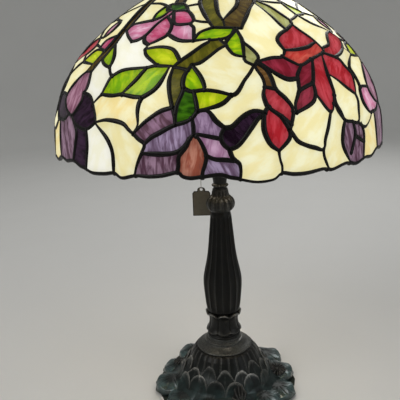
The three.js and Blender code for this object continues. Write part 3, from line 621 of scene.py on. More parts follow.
class LAMP_PG_shade(bpy.types.PropertyGroup):
    came_thickness: size("Lead depth", "How deep the lead stands through the shade", 5 * MM)
    came_width: size("Lead width", "Width of a lead line on the face of the shade", 5.7 * MM)
    dome_height: size("Dome height", "From the rim to the top of the dome's curve", 212.4 * MM)
    fullness: FloatProperty(
        name="Fullness", description="Power of the height in the dome's curve", default=2.48
    )
    shoulder: FloatProperty(
        name="Shoulder", description="Power of the radius in the dome's curve", default=1.148
    )
    join_distance: size("Join distance", "A lead line's end runs onto another line this close", 6 * MM)
    line_step: size("Line step", "Closest points along a lead line", 2.5 * MM)
    pane_grid: size("Pane grid", "Spacing of the points inside a pane", 5.5 * MM)
    pane_thickness: size("Glass thickness", "Thickness of a cut pane", 2.8 * MM)
    flatness: share("Flatness", "How far a pane is flat, from 0, curved as the dome, to 1", 0.55)
    # the darker margin is painted shade of the lead over the glass, with some grime
    margin: size("Margin", "Width of the darker margin along a pane's lead", 9 * MM)
    flat_limit: size("Flat limit", "Furthest that a point moves when its pane is flattened", 0.9 * MM)
    blob: size("Solder joint", "Radius of the solder where lead lines meet", 3.3 * MM)
    rim_radius: size("Rim radius", "Radius of the bead round the shade's lower edge", 2.4 * MM)
    # the glow of the lit glass is painted as emission on the panes, in place of the bulbs' light passing through
    glow: FloatProperty(name="Glow", description="How brightly the lit glass shines", default=0.78, min=0)


class LAMP_PG_base(bpy.types.PropertyGroup):
    pleats: IntProperty(name="Pleats", description="Pleats round the top of the base", default=25)
    pleat_depth: size("Pleat depth", "Depth of the groove between two pleats", 1.6 * MM)
    petals: IntProperty(name="Petals", description="Petals in each of the two rows", default=15)
    petal_height: size("Petal height", "How far a petal stands out", 2.4 * MM)
    wall: size("Wall", "Thickness of the casting", 4 * MM)


class LAMP_PG_column(bpy.types.PropertyGroup):
    flutes: IntProperty(name="Flutes", description="Flutes round the shaft", default=16)
    flute_depth: size("Flute depth", "Depth of a flute", 1.9 * MM)
    gadroons: IntProperty(name="Gadroons", description="Lobes round the knop", default=12)
    leaves: IntProperty(name="Leaves", description="Leaves round the foot of the shaft", default=8)
    bore: size("Bore", "Radius of the hole for the pipe", 5.2 * MM)


class LAMP_PG_fittings(bpy.types.PropertyGroup):
    rise: FloatProperty(
        name="Socket rise", description="How steeply a socket rises", default=math.radians(25),
        subtype="ANGLE",
    )
    direction: FloatProperty(name="Socket direction", description="Direction of the left socket from +X",
                             default=math.radians(134.5), subtype="ANGLE")
    crossing: size("Crossing height", "Where the sockets' axes cross the lamp's", 384.88 * MM)
    cap_from: size("Cap start", "Along a socket's axis from the lamp's axis", 18 * MM)
    shell_from: size("Shell start", "Along a socket's axis from the lamp's axis", 28.3 * MM)
    shell_length: size("Shell length", "Length of a socket's shell", 36 * MM)
    shell_radius: size("Shell radius", "Radius of a socket's shell", 18 * MM)
    shell_wall: size("Shell wall", "Thickness of a socket's shell", 1.2 * MM)
    bulb_base: size("Bulb base radius", "Radius of a bulb's screw base", 13 * MM)
    bulb_from: size("Bulb start", "Along a socket's axis from the lamp's axis", 39.1 * MM)
    bulb_base_length: size("Bulb base length", "Length of a bulb's screw base", 22 * MM)
    bulb_radius: size("Bulb radius", "Radius of a bulb's glass", 30 * MM)
    bulb_length: size("Bulb length", "Length of a bulb's glass", 78 * MM)
    bead_radius: size("Chain bead", "Radius of a bead on the pull chain", 1.25 * MM)
    bead_pitch: size("Chain pitch", "Distance between two beads", 2.9 * MM)


class LAMP_PG_tag(bpy.types.PropertyGroup):
    corner: size("Corner", "Radius of the card's corners", 0.9 * MM)
    slope: size("Clipped corner", "Width of the clipped corners beside the eye", 2.3 * MM)
    neck: size("Neck", "Half the width of the card's neck", 5.6 * MM)
    shoulder: size("Shoulder", "From the card's top down to its shoulders", 5.4 * MM)
    eye: size("Eye", "Radius of the eye in the card", 2 * MM)
    thread: size("Thread", "Radius of the thread", 0.4 * MM)
    border: size("Border", "Width of the card's darker border", 1.1 * MM)
    card: tint("Card", "Colour of the card", (0.165, 0.15, 0.12))
    edge: tint("Card edge", "Colour of the card's border", (0.045, 0.042, 0.036))


class LAMP_PG_finish(bpy.types.PropertyGroup):
    bronze: tint("Bronze", "Dark skin of the castings", (0.0045, 0.0047, 0.0044))
    worn: tint("Worn bronze", "Where hands and cloths have rubbed the edges", (0.36, 0.36, 0.34))
    patina: tint("Patina", "Blue-green bloom on the base", (0.040, 0.078, 0.080))
    lead: tint("Lead", "Blackened solder over the lead lines", (0.0040, 0.0036, 0.0033))
    brass: tint("Brass", "Sockets, chains and bulb bases", (0.42, 0.29, 0.12))


class LAMP_PG_stage(bpy.types.PropertyGroup):
    lens: FloatProperty(name="Lens", description="Focal length in millimetres", default=49.5)
    distance: size("Camera distance", "From the lamp's axis to the camera, level", 713 * MM)
    height: size("Camera height", "Height of the camera above the floor", 472 * MM)
    tilt: FloatProperty(name="Tilt", description="How far the camera looks down", default=math.radians(15.24),
                        subtype="ANGLE")
    turn: FloatProperty(name="Turn", description="How far the camera stands round from the front",
                        default=math.radians(0.4), subtype="ANGLE")
    roll: FloatProperty(name="Roll", description="How far the camera is rolled", default=math.radians(-1.6),
                        subtype="ANGLE")
    shift: FloatProperty(name="Shift", description="Sideways shift of the frame", default=-0.051)
    floor: tint("Floor", "Colour of the plain floor", (0.605, 0.605, 0.595))
    backdrop: tint("Backdrop", "Colour of the light all round", (0.595, 0.60, 0.59))


class LAMP_PG_settings(bpy.types.PropertyGroup):
    shade: PointerProperty(type=LAMP_PG_shade)
    base: PointerProperty(type=LAMP_PG_base)
    column: PointerProperty(type=LAMP_PG_column)
    fittings: PointerProperty(type=LAMP_PG_fittings)
    tag: PointerProperty(type=LAMP_PG_tag)
    finish: PointerProperty(type=LAMP_PG_finish)
    stage: PointerProperty(type=LAMP_PG_stage)


# Finishes: node groups that several materials share, then one function for each material

NUMBER, COLOUR, VECTOR = "NodeSocketFloat", "NodeSocketColor", "NodeSocketVector"
COLUMN_WIDTH = 190  # between two nodes in the editor


def rgba(colour):
    return (*colour, 1.0)


class Tree:
    """Adds nodes to one tree from left to right. An input is given a number or another node's output."""

    def __init__(self, tree):
        self.tree = tree
        self.x = 0

    def add(self, kind, settings=(), inputs=()):
        node = self.tree.nodes.new(kind)
        node.location = (self.x, 0)
        self.x += COLUMN_WIDTH
        for key, value in dict(settings).items():
            setattr(node, key, value)
        for key, value in dict(inputs).items():
            if isinstance(value, bpy.types.NodeSocket):
                self.tree.links.new(value, node.inputs[key])
            else:
                node.inputs[key].default_value = value
        return node

    def noise(self, place, scale, detail=3.0, distortion=0.0, roughness=0.5):
        node = self.add("ShaderNodeTexNoise", {}, {
            "Vector": place, "Scale": scale, "Detail": detail, "Distortion": distortion,
            "Roughness": roughness,
        })
        return node.outputs["Fac"]

    def spread(self, value, low, high, to_low=0.0, to_high=1.0):
        node = self.add("ShaderNodeMapRange", {"interpolation_type": "SMOOTHSTEP"}, {
            "Value": value, "From Min": low, "From Max": high, "To Min": to_low, "To Max": to_high,
        })
        return node.outputs["Result"]

    def maths(self, operation, a, b=0.0):
        return self.add("ShaderNodeMath", {"operation": operation}, {0: a, 1: b}).outputs[0]

    def mix(self, factor, a, b, blend="MIX"):
        node = self.add("ShaderNodeMix", {"data_type": "RGBA", "blend_type": blend}, {0: factor, 6: a, 7: b})
        return node.outputs[2]

    def attribute(self, name):
        return self.add("ShaderNodeAttribute", {"attribute_name": name})

    def bump(self, height, strength, distance):
        node = self.add("ShaderNodeBump", {}, {"Height": height, "Strength": strength, "Distance": distance})
        return node.outputs["Normal"]


def shared_group(name, inputs, outputs, build):
    """A node group made once: build(tree, inputs) returns its outputs by name."""
    group = bpy.data.node_groups.get(name)
    if group:
        return group
    group = bpy.data.node_groups.new(name, "ShaderNodeTree")
    for label, kind, default in inputs:
        socket = group.interface.new_socket(name=label, in_out="INPUT", socket_type=kind)
        socket.default_value = default
    for label, kind in outputs:
        group.interface.new_socket(name=label, in_out="OUTPUT", socket_type=kind)
    tree = Tree(group)
    given = tree.add("NodeGroupInput").outputs
    tree.add("NodeGroupOutput", {}, build(tree, given))
    return group


def streaky_sheet():
    """Rolled art glass: two colours pulled into each other, flecks, and the ripple of the sheet."""

    def build(tree, given):
        place = tree.add(
            "ShaderNodeVectorMath", {"operation": "MULTIPLY"}, {0: given["Sheet"], 1: given["Draw"]}
        )
        place = place.outputs[0]
        broad = tree.spread(tree.noise(place, 1.0, 3.0, given["Swirl"], 0.5), 0.36, 0.66)
        fine = tree.spread(tree.noise(place, 2.6, 4.0, 0.6, 0.6), 0.55, 0.78)
        colour = tree.mix(broad, given["Body"], given["Streak"])
        colour = tree.mix(tree.maths("MULTIPLY", fine, given["Flecks"]), colour, given["Fleck"])
        # Lit is the sheet's colour times the painted glow and the painted shade along the lead; it feeds the
        # panes' emission, and a share of it their base colour
        lit = tree.mix(1.0, colour, given["Tone"], "MULTIPLY")
        skin = tree.mix(1.0, lit, given["Skin"], "MULTIPLY")
        ripple = tree.noise(place, 1.7, 2.0, 0.4)
        return {"Colour": skin, "Lit": lit, "Ripple": ripple}

    return shared_group(
        "Streaky sheet",
        [
            ("Sheet", VECTOR, (0, 0, 0)), ("Draw", VECTOR, (100, 100, 100)), ("Tone", COLOUR, (1, 1, 1, 1)),
            ("Body", COLOUR, (1, 1, 1, 1)), ("Streak", COLOUR, (1, 1, 1, 1)), ("Fleck", COLOUR, (1, 1, 1, 1)),
            ("Skin", COLOUR, (0.4, 0.4, 0.4, 1)), ("Flecks", NUMBER, 0.5), ("Swirl", NUMBER, 0.8),
        ],
        [("Colour", COLOUR), ("Lit", COLOUR), ("Ripple", NUMBER)],
        build,
    )


def cast_skin():
    """Sand-cast metal under a dark patina: mottle, pits, edges rubbed bright and a blue-green bloom."""

    def build(tree, given):
        place = given["Place"]
        mottle = tree.noise(place, 70.0, 4.0, 0.5, 0.6)
        pits = tree.noise(place, 520.0, 5.0, 0.2, 0.65)
        dark = tree.mix(tree.spread(mottle, 0.42, 0.7), given["Dark"], given["Warm"])
        bloom = tree.maths("MULTIPLY", given["Moss"], tree.spread(mottle, 0.34, 0.6, 0.35, 1.0))
        skin = tree.mix(bloom, dark, given["Patina"])
        rubbed = tree.maths("MULTIPLY", given["Rub"], tree.spread(pits, 0.35, 0.62, 0.3, 1.0))
        colour = tree.mix(rubbed, skin, given["Worn"])
        shine = tree.maths("ADD", tree.maths("ADD", pits, rubbed), tree.maths("MULTIPLY", given["Moss"], 0.5))
        rough = tree.spread(shine, 0.3, 1.3, 0.42, 0.24)
        height = tree.maths("ADD", pits, tree.maths("MULTIPLY", mottle, 1.5))
        return {"Colour": colour, "Roughness": rough, "Height": height}

    return shared_group(
        "Cast skin",
        [
            ("Place", VECTOR, (0, 0, 0)), ("Rub", NUMBER, 0.0), ("Moss", NUMBER, 0.0),
            ("Dark", COLOUR, (0, 0, 0, 1)), ("Warm", COLOUR, (0, 0, 0, 1)), ("Worn", COLOUR, (1, 1, 1, 1)),
            ("Patina", COLOUR, (0, 0, 0, 1)),
        ],
        [("Colour", COLOUR), ("Roughness", NUMBER), ("Height", NUMBER)],
        build,
    )


def drawn_metal():
    """Spun or drawn metal: tarnish in clouds and fine marks from the tool."""

    def build(tree, given):
        clouds = tree.noise(given["Place"], given["Cloud"], 4.0, 0.8, 0.6)
        marks = tree.noise(given["Place"], given["Marks"], 3.0, 0.0, 0.7)
        tarnish = tree.spread(clouds, 0.42, 0.68)
        colour = tree.mix(tarnish, given["Bright"], given["Tarnish"])
        rough = tree.spread(tree.maths("ADD", marks, tarnish), 0.3, 1.5, 0.22, 0.5)
        return {"Colour": colour, "Roughness": rough, "Height": marks}

    return shared_group(
        "Drawn metal",
        [
            ("Place", VECTOR, (0, 0, 0)), ("Cloud", NUMBER, 60.0), ("Marks", NUMBER, 900.0),
            ("Bright", COLOUR, (1, 1, 1, 1)), ("Tarnish", COLOUR, (0, 0, 0, 1)),
        ],
        [("Colour", COLOUR), ("Roughness", NUMBER), ("Height", NUMBER)],
        build,
    )


def material(name, build):
    """A material made once: build(tree, shader) fills its nodes."""
    made = bpy.data.materials.get(name)
    if made:
        return made
    made = bpy.data.materials.new(name)
    made.use_nodes = True
    shader = made.node_tree.nodes["Principled BSDF"]
    tree = Tree(made.node_tree)
    tree.x = -6 * COLUMN_WIDTH
    build(tree, shader)
    return made


def join(tree, shader, links, numbers):
    for key, socket in links.items():
        tree.tree.links.new(socket, shader.inputs[key])
    for key, value in numbers.items():
        shader.inputs[key].default_value = value


def object_place(tree):
    return tree.add("ShaderNodeTexCoord").outputs["Object"]


FLECKS = {"cream": 0.28, "white": 0.15, "amber": 0.4}
CLOUDY = ("cream", "white", "amber")  # sheets whose colours lie in soft clouds, not streaks
STREAK_ACROSS = 1 / (15 * MM)  # how often a plain sheet's colour turns, across its streaks
CLOUD_ACROSS = 1 / (24 * MM)
GLASS_SKIN = 0.36  # how much of a sheet's colour it shows by the light that falls on it


def glass(kind):
    body, streak, fleck, stretch = GLASSES[kind]

    def build(tree, shader):
        across = CLOUD_ACROSS * stretch if kind in CLOUDY else STREAK_ACROSS * stretch ** 0.8
        group = tree.add("ShaderNodeGroup", {"node_tree": streaky_sheet()}, {
            "Sheet": tree.attribute("sheet").outputs["Vector"],
            "Draw": (across, across / stretch, across),
            "Tone": tree.attribute("tone").outputs["Color"],
            "Body": rgba(body),
            "Streak": rgba(streak),
            "Fleck": rgba(fleck),
            "Skin": rgba((GLASS_SKIN,) * 3),
            "Flecks": FLECKS.get(kind, 0.55),
            "Swirl": 0.25 if kind in CLOUDY else 0.7,
        })
        # the bulbs' light through the glass is painted: each pane emits its lit colour instead of letting light
        # through
        links = {
            "Base Color": group.outputs["Colour"],
            "Emission Color": group.outputs["Lit"],
            "Normal": tree.bump(group.outputs["Ripple"], 0.25, 0.6 * MM),
        }
        join(tree, shader, links, {
            "Roughness": 0.2,
            "Coat Weight": 0.05,
            "Coat Roughness": 0.06,
            "Specular IOR Level": 0.1,
            "Emission Strength": bpy.context.scene.lamp.shade.glow,
        })

    return material(f"{kind}_sheet_glass", build)


def bronze():
    s = bpy.context.scene.lamp.finish

    def build(tree, shader):
        warm = tuple(c * k for c, k in zip(s.bronze, (1.5, 1.35, 1.2)))
        group = tree.add("ShaderNodeGroup", {"node_tree": cast_skin()}, {
            "Place": object_place(tree),
            "Rub": tree.attribute("rub").outputs["Fac"],
            "Moss": tree.attribute("moss").outputs["Fac"],
            "Dark": rgba(s.bronze),
            "Warm": rgba(warm),
            "Worn": rgba(s.worn),
            "Patina": rgba(s.patina),
        })
        lacquer = tree.spread(tree.attribute("moss").outputs["Fac"], 0.2, 0.9, 0.05, 0.6)
        links = {
            "Base Color": group.outputs["Colour"],
            "Roughness": group.outputs["Roughness"],
            "Coat Weight": lacquer,
            "Normal": tree.bump(group.outputs["Height"], 0.35, 0.35 * MM),
        }
        join(tree, shader, links, {"Metallic": 0.4, "Specular IOR Level": 0.24, "Coat Roughness": 0.14})

    return material("dark_bronze", build)


def lead():
    s = bpy.context.scene.lamp.finish

    def build(tree, shader):
        worn = tuple(min(1.0, c * 4.5) for c in s.lead)
        group = tree.add("ShaderNodeGroup", {"node_tree": cast_skin()}, {
            "Place": object_place(tree),
            "Rub": 0.2,
            "Dark": rgba(s.lead),
            "Warm": rgba(tuple(c * 1.5 for c in s.lead)),
            "Worn": rgba(worn),
            "Patina": rgba(s.lead),
        })
        links = {
            "Base Color": group.outputs["Colour"],
            "Roughness": group.outputs["Roughness"],
            "Normal": tree.bump(group.outputs["Height"], 0.4, 0.5 * MM),
        }
        join(tree, shader, links, {"Metallic": 0.2, "Specular IOR Level": 0.18})

    return material("blackened_solder", build)


def drawn(name, bright, tarnish, metallic=1.0, cloud=60.0, marks=900.0, coat=0.0):
    def build(tree, shader):
        group = tree.add("ShaderNodeGroup", {"node_tree": drawn_metal()}, {
            "Place": object_place(tree),
            "Cloud": cloud,
            "Marks": marks,
            "Bright": rgba(bright),
            "Tarnish": rgba(tarnish),
        })
        links = {
            "Base Color": group.outputs["Colour"],
            "Roughness": group.outputs["Roughness"],
            "Normal": tree.bump(group.outputs["Height"], 0.2, 0.15 * MM),
        }
        join(tree, shader, links, {"Metallic": metallic, "Coat Weight": coat})

    return material(name, build)


def brass():
    colour = bpy.context.scene.lamp.finish.brass
    return drawn("old_brass", tuple(colour), tuple(c * 0.45 for c in colour))


def steel():
    return drawn("zinc_steel", (0.42, 0.42, 0.41), (0.20, 0.19, 0.17))


def iron():
    return drawn("cast_iron", (0.06, 0.055, 0.05), (0.10, 0.05, 0.025), 0.6, 90.0, 500.0)


def porcelain():
    return drawn("glazed_porcelain", (0.80, 0.78, 0.72), (0.66, 0.62, 0.52), 0.0, 40.0, 300.0, 0.6)


def soft(name, colour, deep, scale, strength, roughness=0.9):
    """Felt, rubber, card and thread: a fibrous or grainy surface without gloss."""

    def build(tree, shader):
        place = object_place(tree)
        fibre = tree.noise(place, scale, 6.0, 1.4, 0.7)
        cloud = tree.noise(place, scale * 0.08, 3.0, 0.3)
        colour_out = tree.mix(tree.spread(fibre, 0.35, 0.65), rgba(deep), rgba(colour))
        colour_out = tree.mix(tree.spread(cloud, 0.4, 0.7, 0.0, 0.35), colour_out, rgba(deep))
        links = {
            "Base Color": colour_out,
            "Roughness": tree.spread(fibre, 0.3, 0.7, roughness - 0.12, min(1.0, roughness + 0.05)),
            "Normal": tree.bump(fibre, strength, 0.2 * MM),
        }
        join(tree, shader, links, {"Specular IOR Level": 0.25})

    return material(name, build)


def felt():
    return soft("dark_felt", (0.020, 0.028, 0.020), (0.008, 0.010, 0.008), 2200.0, 0.8, 0.95)


def rubber():
    return soft("black_rubber", (0.018, 0.018, 0.018), (0.010, 0.010, 0.010), 1500.0, 0.3, 0.6)


def thread():
    return soft("linen_thread", (0.42, 0.40, 0.34), (0.22, 0.20, 0.16), 2600.0, 0.6)


def card():
    s = bpy.context.scene.lamp.tag

    def build(tree, shader):
        place = object_place(tree)
        fibre = tree.noise(place, 1500.0, 6.0, 1.2, 0.7)
        smudge = tree.noise(place, 130.0, 3.0, 0.8)
        body = tree.mix(
            tree.spread(fibre, 0.3, 0.7, 0.0, 0.4), rgba(s.card), rgba(tuple(c * 0.72 for c in s.card))
        )
        body = tree.mix(tree.spread(smudge, 0.45, 0.7, 0.0, 0.5), body, rgba(tuple(c * 0.6 for c in s.card)))
        body = tree.mix(tree.attribute("border").outputs["Fac"], body, rgba(s.edge))
        links = {
            "Base Color": body,
            "Roughness": tree.spread(fibre, 0.3, 0.7, 0.62, 0.8),
            "Normal": tree.bump(fibre, 0.4, 0.1 * MM),
        }
        join(tree, shader, links, {"Specular IOR Level": 0.3})

    return material("aged_card", build)


def bulb_glass():
    def build(tree, shader):
        place = object_place(tree)
        frost = tree.noise(place, 900.0, 4.0, 0.2)
        cloud = tree.noise(place, 35.0, 2.0, 0.4)
        colour = tree.mix(tree.spread(cloud, 0.35, 0.7), (1.0, 0.86, 0.62, 1), (1.0, 0.93, 0.78, 1))
        links = {
            "Base Color": colour,
            "Emission Color": colour,
            "Roughness": tree.spread(frost, 0.3, 0.7, 0.35, 0.5),
            "Normal": tree.bump(frost, 0.15, 0.1 * MM),
        }
        join(tree, shader, links, {"Emission Strength": 3.0, "Coat Weight": 0.2})

    return material("frosted_bulb", build)


def floor_paint():
    s = bpy.context.scene.lamp.stage

    def build(tree, shader):
        place = object_place(tree)
        cloud = tree.noise(place, 3.0, 3.0, 0.3)
        colour = tree.mix(
            tree.spread(cloud, 0.3, 0.7, 0.0, 0.12), rgba(s.floor), rgba(tuple(c * 0.85 for c in s.floor))
        )
        links = {"Base Color": colour, "Roughness": tree.spread(cloud, 0.3, 0.7, 0.5, 0.62)}
        join(tree, shader, links, {"Specular IOR Level": 0.3})

    return material("pale_floor", build)


# More geometry helpers


def set_attribute(obj, name, values, kind="FLOAT"):
    """A value for each vertex, which the materials read by name."""
    layer = obj.data.attributes.new(name, kind, "POINT")
    if kind == "FLOAT":
        layer.data.foreach_set("value", values)
    else:
        layer.data.foreach_set("vector", [c for v in values for c in v])


def swept(points, normals, width, height, sides=8, closed=False):
    """A rounded strip along points: width lies across the normal and height along it. width may be a list."""
    rings = []
    count = len(points)
    widths = width if isinstance(width, list) else [width] * count
    for i, (p, n) in enumerate(zip(points, normals)):
        before = points[(i - 1) % count] if closed or i else p
        after = points[(i + 1) % count] if closed or i < count - 1 else p
        tangent = (after - before).normalized()
        side = tangent.cross(n).normalized()
        out = side.cross(tangent).normalized()
        ring = []
        for k in range(sides):
            a = 2 * math.pi * (k + 0.5) / sides
            ring.append(p + side * (math.cos(a) * widths[i] / 2) + out * (math.sin(a) * height / 2))
        rings.append(ring)
    return loft(rings, closed, not closed, not closed)


class Builder:
    """Gathers vertices, faces and values at the vertices for one mesh."""

    def __init__(self):
        self.verts, self.faces, self.slots = [], [], []
        self.values = {}

    def add(self, skin, slot=0, **values):
        verts, faces = skin
        start = len(self.verts)
        self.verts += verts
        self.faces += [tuple(start + i for i in face) for face in faces]
        self.slots += [slot] * len(faces)
        for name, value in values.items():
            self.values.setdefault(name, []).extend(
                value if isinstance(value, list) else [value] * len(verts)
            )

    def piece(self, name, body, materials, slot, replaces=(), angle=40):
        obj = make_piece(name, self.verts, self.faces, body, materials, replaces, angle, self.slots)
        for label, values in self.values.items():
            kind = "FLOAT_VECTOR" if hasattr(values[0], "__len__") else "FLOAT"
            set_attribute(obj, label, values, kind)
        return obj


def ball(centre, radius, rings=5, sides=8, flat=1.0, up=Vector((0, 0, 1))):
    """A small round blob, flattened along up."""
    up = up.normalized()
    across = up.orthogonal().normalized()
    other = up.cross(across)
    layers = []
    for j in range(rings + 1):
        t = math.pi * (j + 0.12) / (rings + 0.24)
        r, h = radius * math.sin(t), radius * flat * math.cos(t)
        layers.append([
            centre + across * (r * math.cos(2 * math.pi * k / sides))
            + other * (r * math.sin(2 * math.pi * k / sides)) + up * h
            for k in range(sides)
        ])
    verts, faces = loft(layers, False, True, True)
    return verts, [tuple(reversed(f)) for f in faces]


# The shade


def pane_skin(dome, flat, tris, turn, s):
    """One cut pane, turned round the lamp and flattened towards its own plane, with its flat coordinates."""
    azimuths = [a + turn for a, _ in flat]
    points = [dome.point(a, v) for a, (_, v) in zip(azimuths, flat)]
    normals = [dome.normal(a, v) for a, (_, v) in zip(azimuths, flat)]
    centre = sum(points, Vector()) / len(points)
    facing = sum(normals, Vector()).normalized()
    across = Vector((0, 0, 1)).cross(facing).normalized()
    along = facing.cross(across)
    level = []
    for p in points:
        step = (p - centre).dot(facing) * s.flatness
        level.append(p - facing * min(max(step, -s.flat_limit), s.flat_limit))
    half = s.pane_thickness / 2
    front = [p + n * half for p, n in zip(level, normals)]
    back = [p - n * half for p, n in zip(level, normals)]
    n = len(points)
    edges = {}
    for i, j, k in tris:
        for a, b in ((i, j), (j, k), (k, i)):
            edges[(a, b)] = edges.get((a, b), 0) + 1
    # outward faces wind anticlockwise as seen from outside
    i, j, k = tris[0]
    outward = (points[j] - points[i]).cross(points[k] - points[i]).dot(facing) > 0
    faces = []
    for i, j, k in tris:
        faces.append((i, j, k) if outward else (k, j, i))
        faces.append((k + n, j + n, i + n) if outward else (i + n, j + n, k + n))
    for a, b in edges:
        if (b, a) not in edges:
            faces.append((b, a, a + n, b + n) if outward else (a, b, b + n, a + n))
    sheet = [Vector(((p - centre).dot(across), (p - centre).dot(along), 0)) for p in level]
    border = sorted({i for a, b in edges if (b, a) not in edges for i in (a, b)})
    on_border = set(border)
    # core: how far each point lies inside its pane's lead, which sets the painted lead shade in the margin
    core = []
    for index, p in enumerate(level):
        near = 0.0 if index in on_border else min((p - level[k]).length for k in border)
        core.append(smoothstep(0, s.margin, near))
    return (front + back, faces), sheet + sheet, core + core, centre


BULB_REACH = 95 * MM  # how near a pane is to a bulb when its glow has fallen by half
# how much darker a pane is along its lead, a painted shade of the lead with some grime, for pale and for strong
# colours
PALE_MARGIN, DEEP_MARGIN = 0.12, 0.42
UPRIGHT_GRAIN = ("lilac", "violet", "plum", "mauve", "orange", "rose_lilac")
# square millimetres: no point of a smaller region lies further from its edge than half the lead's width
LEAST_PANE = 6
ROWS = (("lower", 92, 40), ("middle", 184, 60), ("upper", 1000, 60))


def pane_glow(centre, rng):
    """Painted glow: brighter near a bulb, with a little of its own in each pane."""
    bulbs = [
        (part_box(f"bulb_glass_{side}")[0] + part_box(f"bulb_glass_{side}")[1]) / 2 for side in ("left", "right")
    ]
    near = min((Vector(b) - centre).length for b in bulbs)
    return (0.90 + 0.26 / (1 + (near / BULB_REACH) ** 2)) * rng.uniform(0.93, 1.05)


class LAMP_OT_panes(bpy.types.Operator):
    """Cut the panes of glass and set them in their rows"""

    bl_idname = "lamp.panes"
    bl_label = "Glass panes"

    def execute(self, context):
        s = context.scene.lamp.shade
        dome = Dome(s)
        cartoon = Cartoon(dome, s)
        rng = random.Random(11)
        rows = {}
        for flat, tris in cartoon.panes(s):
            area, a, v = region_centre(flat, tris)
            if not -SECTOR / 2 <= a < SECTOR / 2:
                continue
            sliver = area * dome.degree_mm(v) < LEAST_PANE
            sector_kind = self.kind_of(flat, tris)
            for turn in (0, SECTOR, 2 * SECTOR):
                kind = self.single_kind(flat, tris, turn) or sector_kind
                skin, sheet, core, centre = pane_skin(dome, flat, tris, turn, s)
                grain = rng.gauss(0, 0.18) if kind in UPRIGHT_GRAIN else rng.uniform(0, math.pi)
                place = Matrix.Translation(
                    [rng.uniform(0, 9) for _ in range(3)]
                ) @ Matrix.Rotation(grain, 4, "Z")
                glow = pane_glow(centre, rng)
                if sliver:
                    continue
                row, _, span = next(entry for entry in ROWS if v < entry[1])
                node = f"{row}_{int(((a + turn) % 360) / span) + 1}"
                builder, kinds = rows.setdefault(node, (Builder(), []))
                if kind not in kinds:
                    kinds.append(kind)
                # each pane's colour is multiplied by its painted glow, brighter near a bulb, and darkened in its
                # margin by painted shade of the lead with some grime
                deep = PALE_MARGIN if kind in CLOUDY else DEEP_MARGIN
                tone = [(glow * (1 - deep * (1 - c)),) * 3 for c in core]
                builder.add(skin, kinds.index(kind), sheet=[place @ p for p in sheet], tone=tone)
        for node, (builder, kinds) in sorted(rows.items()):
            materials = [glass(kind) for kind in kinds]
            builder.piece(f"panes_{node}", "shade", materials, "cream_glass", (f"glass_{node}",), 30)
        return {"FINISHED"}

    @staticmethod
    def single_kind(flat, tris, turn):
        for kind, a, v in SINGLE_GLASS_AT:
            if any(region_holds(flat, tris, a - turn + c, v) for c in (0, 360)):
                return kind
        return None

    @staticmethod
    def kind_of(flat, tris):
        for kind, a, v in GLASS_AT:
            if any(region_holds(flat, tris, a + c, v) for c in Cartoon.COPIES):
                return kind
        return BACKGROUND_GLASS


class LAMP_OT_lead(bpy.types.Operator):
    """Run the lead lines between the panes, with solder where they meet"""

    bl_idname = "lamp.lead"
    bl_label = "Lead lines"

    def execute(self, context):
        s = context.scene.lamp.shade
        dome = Dome(s)
        cartoon = Cartoon(dome, s)
        builder = Builder()
        for turn in (0, SECTOR, 2 * SECTOR):
            for line in cartoon.lines + [cartoon.borders[1]]:
                points = [dome.point(a + turn, v) for a, v in line]
                normals = [dome.normal(a + turn, v) for a, v in line]
                if len(points) < 2:
                    continue
                widths = [s.came_width * (1 + 0.24 * noise.noise(p * 55)) for p in points]
                builder.add(swept(points, normals, widths, s.came_thickness))
                for p, n in ((points[0], normals[0]), (points[-1], normals[-1])):
                    blob_size = s.blob * (1 + 0.3 * noise.noise(p * 90))
                    builder.add(ball(p, blob_size, 5, 10, 0.5 * s.came_thickness / blob_size * 1.06, n))
        builder.piece("lead_lines", "shade", [lead()], "lead", ("lead_frame",), 60)
        return {"FINISHED"}


class LAMP_OT_rim(bpy.types.Operator):
    """Run the waved bead round the shade's lower edge, and seat the crown ring"""

    bl_idname = "lamp.rim"
    bl_label = "Rim and crown ring"

    def execute(self, context):
        s = context.scene.lamp.shade
        dome = Dome(s)
        cartoon = Cartoon(dome, s)
        line = [(a + turn, v) for turn in (0, SECTOR, 2 * SECTOR) for a, v in cartoon.rim[:-1]]
        points = [dome.point(a, v) for a, v in line]
        normals = [dome.normal(a, v) for a, v in line]
        builder = Builder()
        builder.add(swept(points, normals, 2 * s.rim_radius, 2.1 * s.rim_radius, 12, True))
        builder.piece("rim_bead_waved", "shade", [lead()], "lead", ("rim_bead",), 60)
        low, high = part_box("crown_ring")
        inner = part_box("spun_cap")[1].x - 15 * MM
        outer, soft_edge = high.x, 0.5 * MM
        profile = [
            (inner, low.z), (outer - soft_edge, low.z), (outer, low.z + soft_edge),
            (outer, high.z - soft_edge),
            (outer - soft_edge, high.z), (inner, high.z),
        ]
        ring = Builder()
        ring.add(turned(profile, 96))
        ring.piece("crown_ring_seat", "shade", [lead()], "lead", ("crown_ring",), 30)
        return {"FINISHED"}


def moved(skin, matrix):
    verts, faces = skin
    return [matrix @ Vector(v) for v in verts], faces


def rub_by_shape(profile, segments, worth):
    """The rubbed value at each vertex of a turned skin: worth(angle, radius, height)."""
    return [worth(2 * math.pi * i / segments, r, z) for r, z in profile for i in range(segments)]


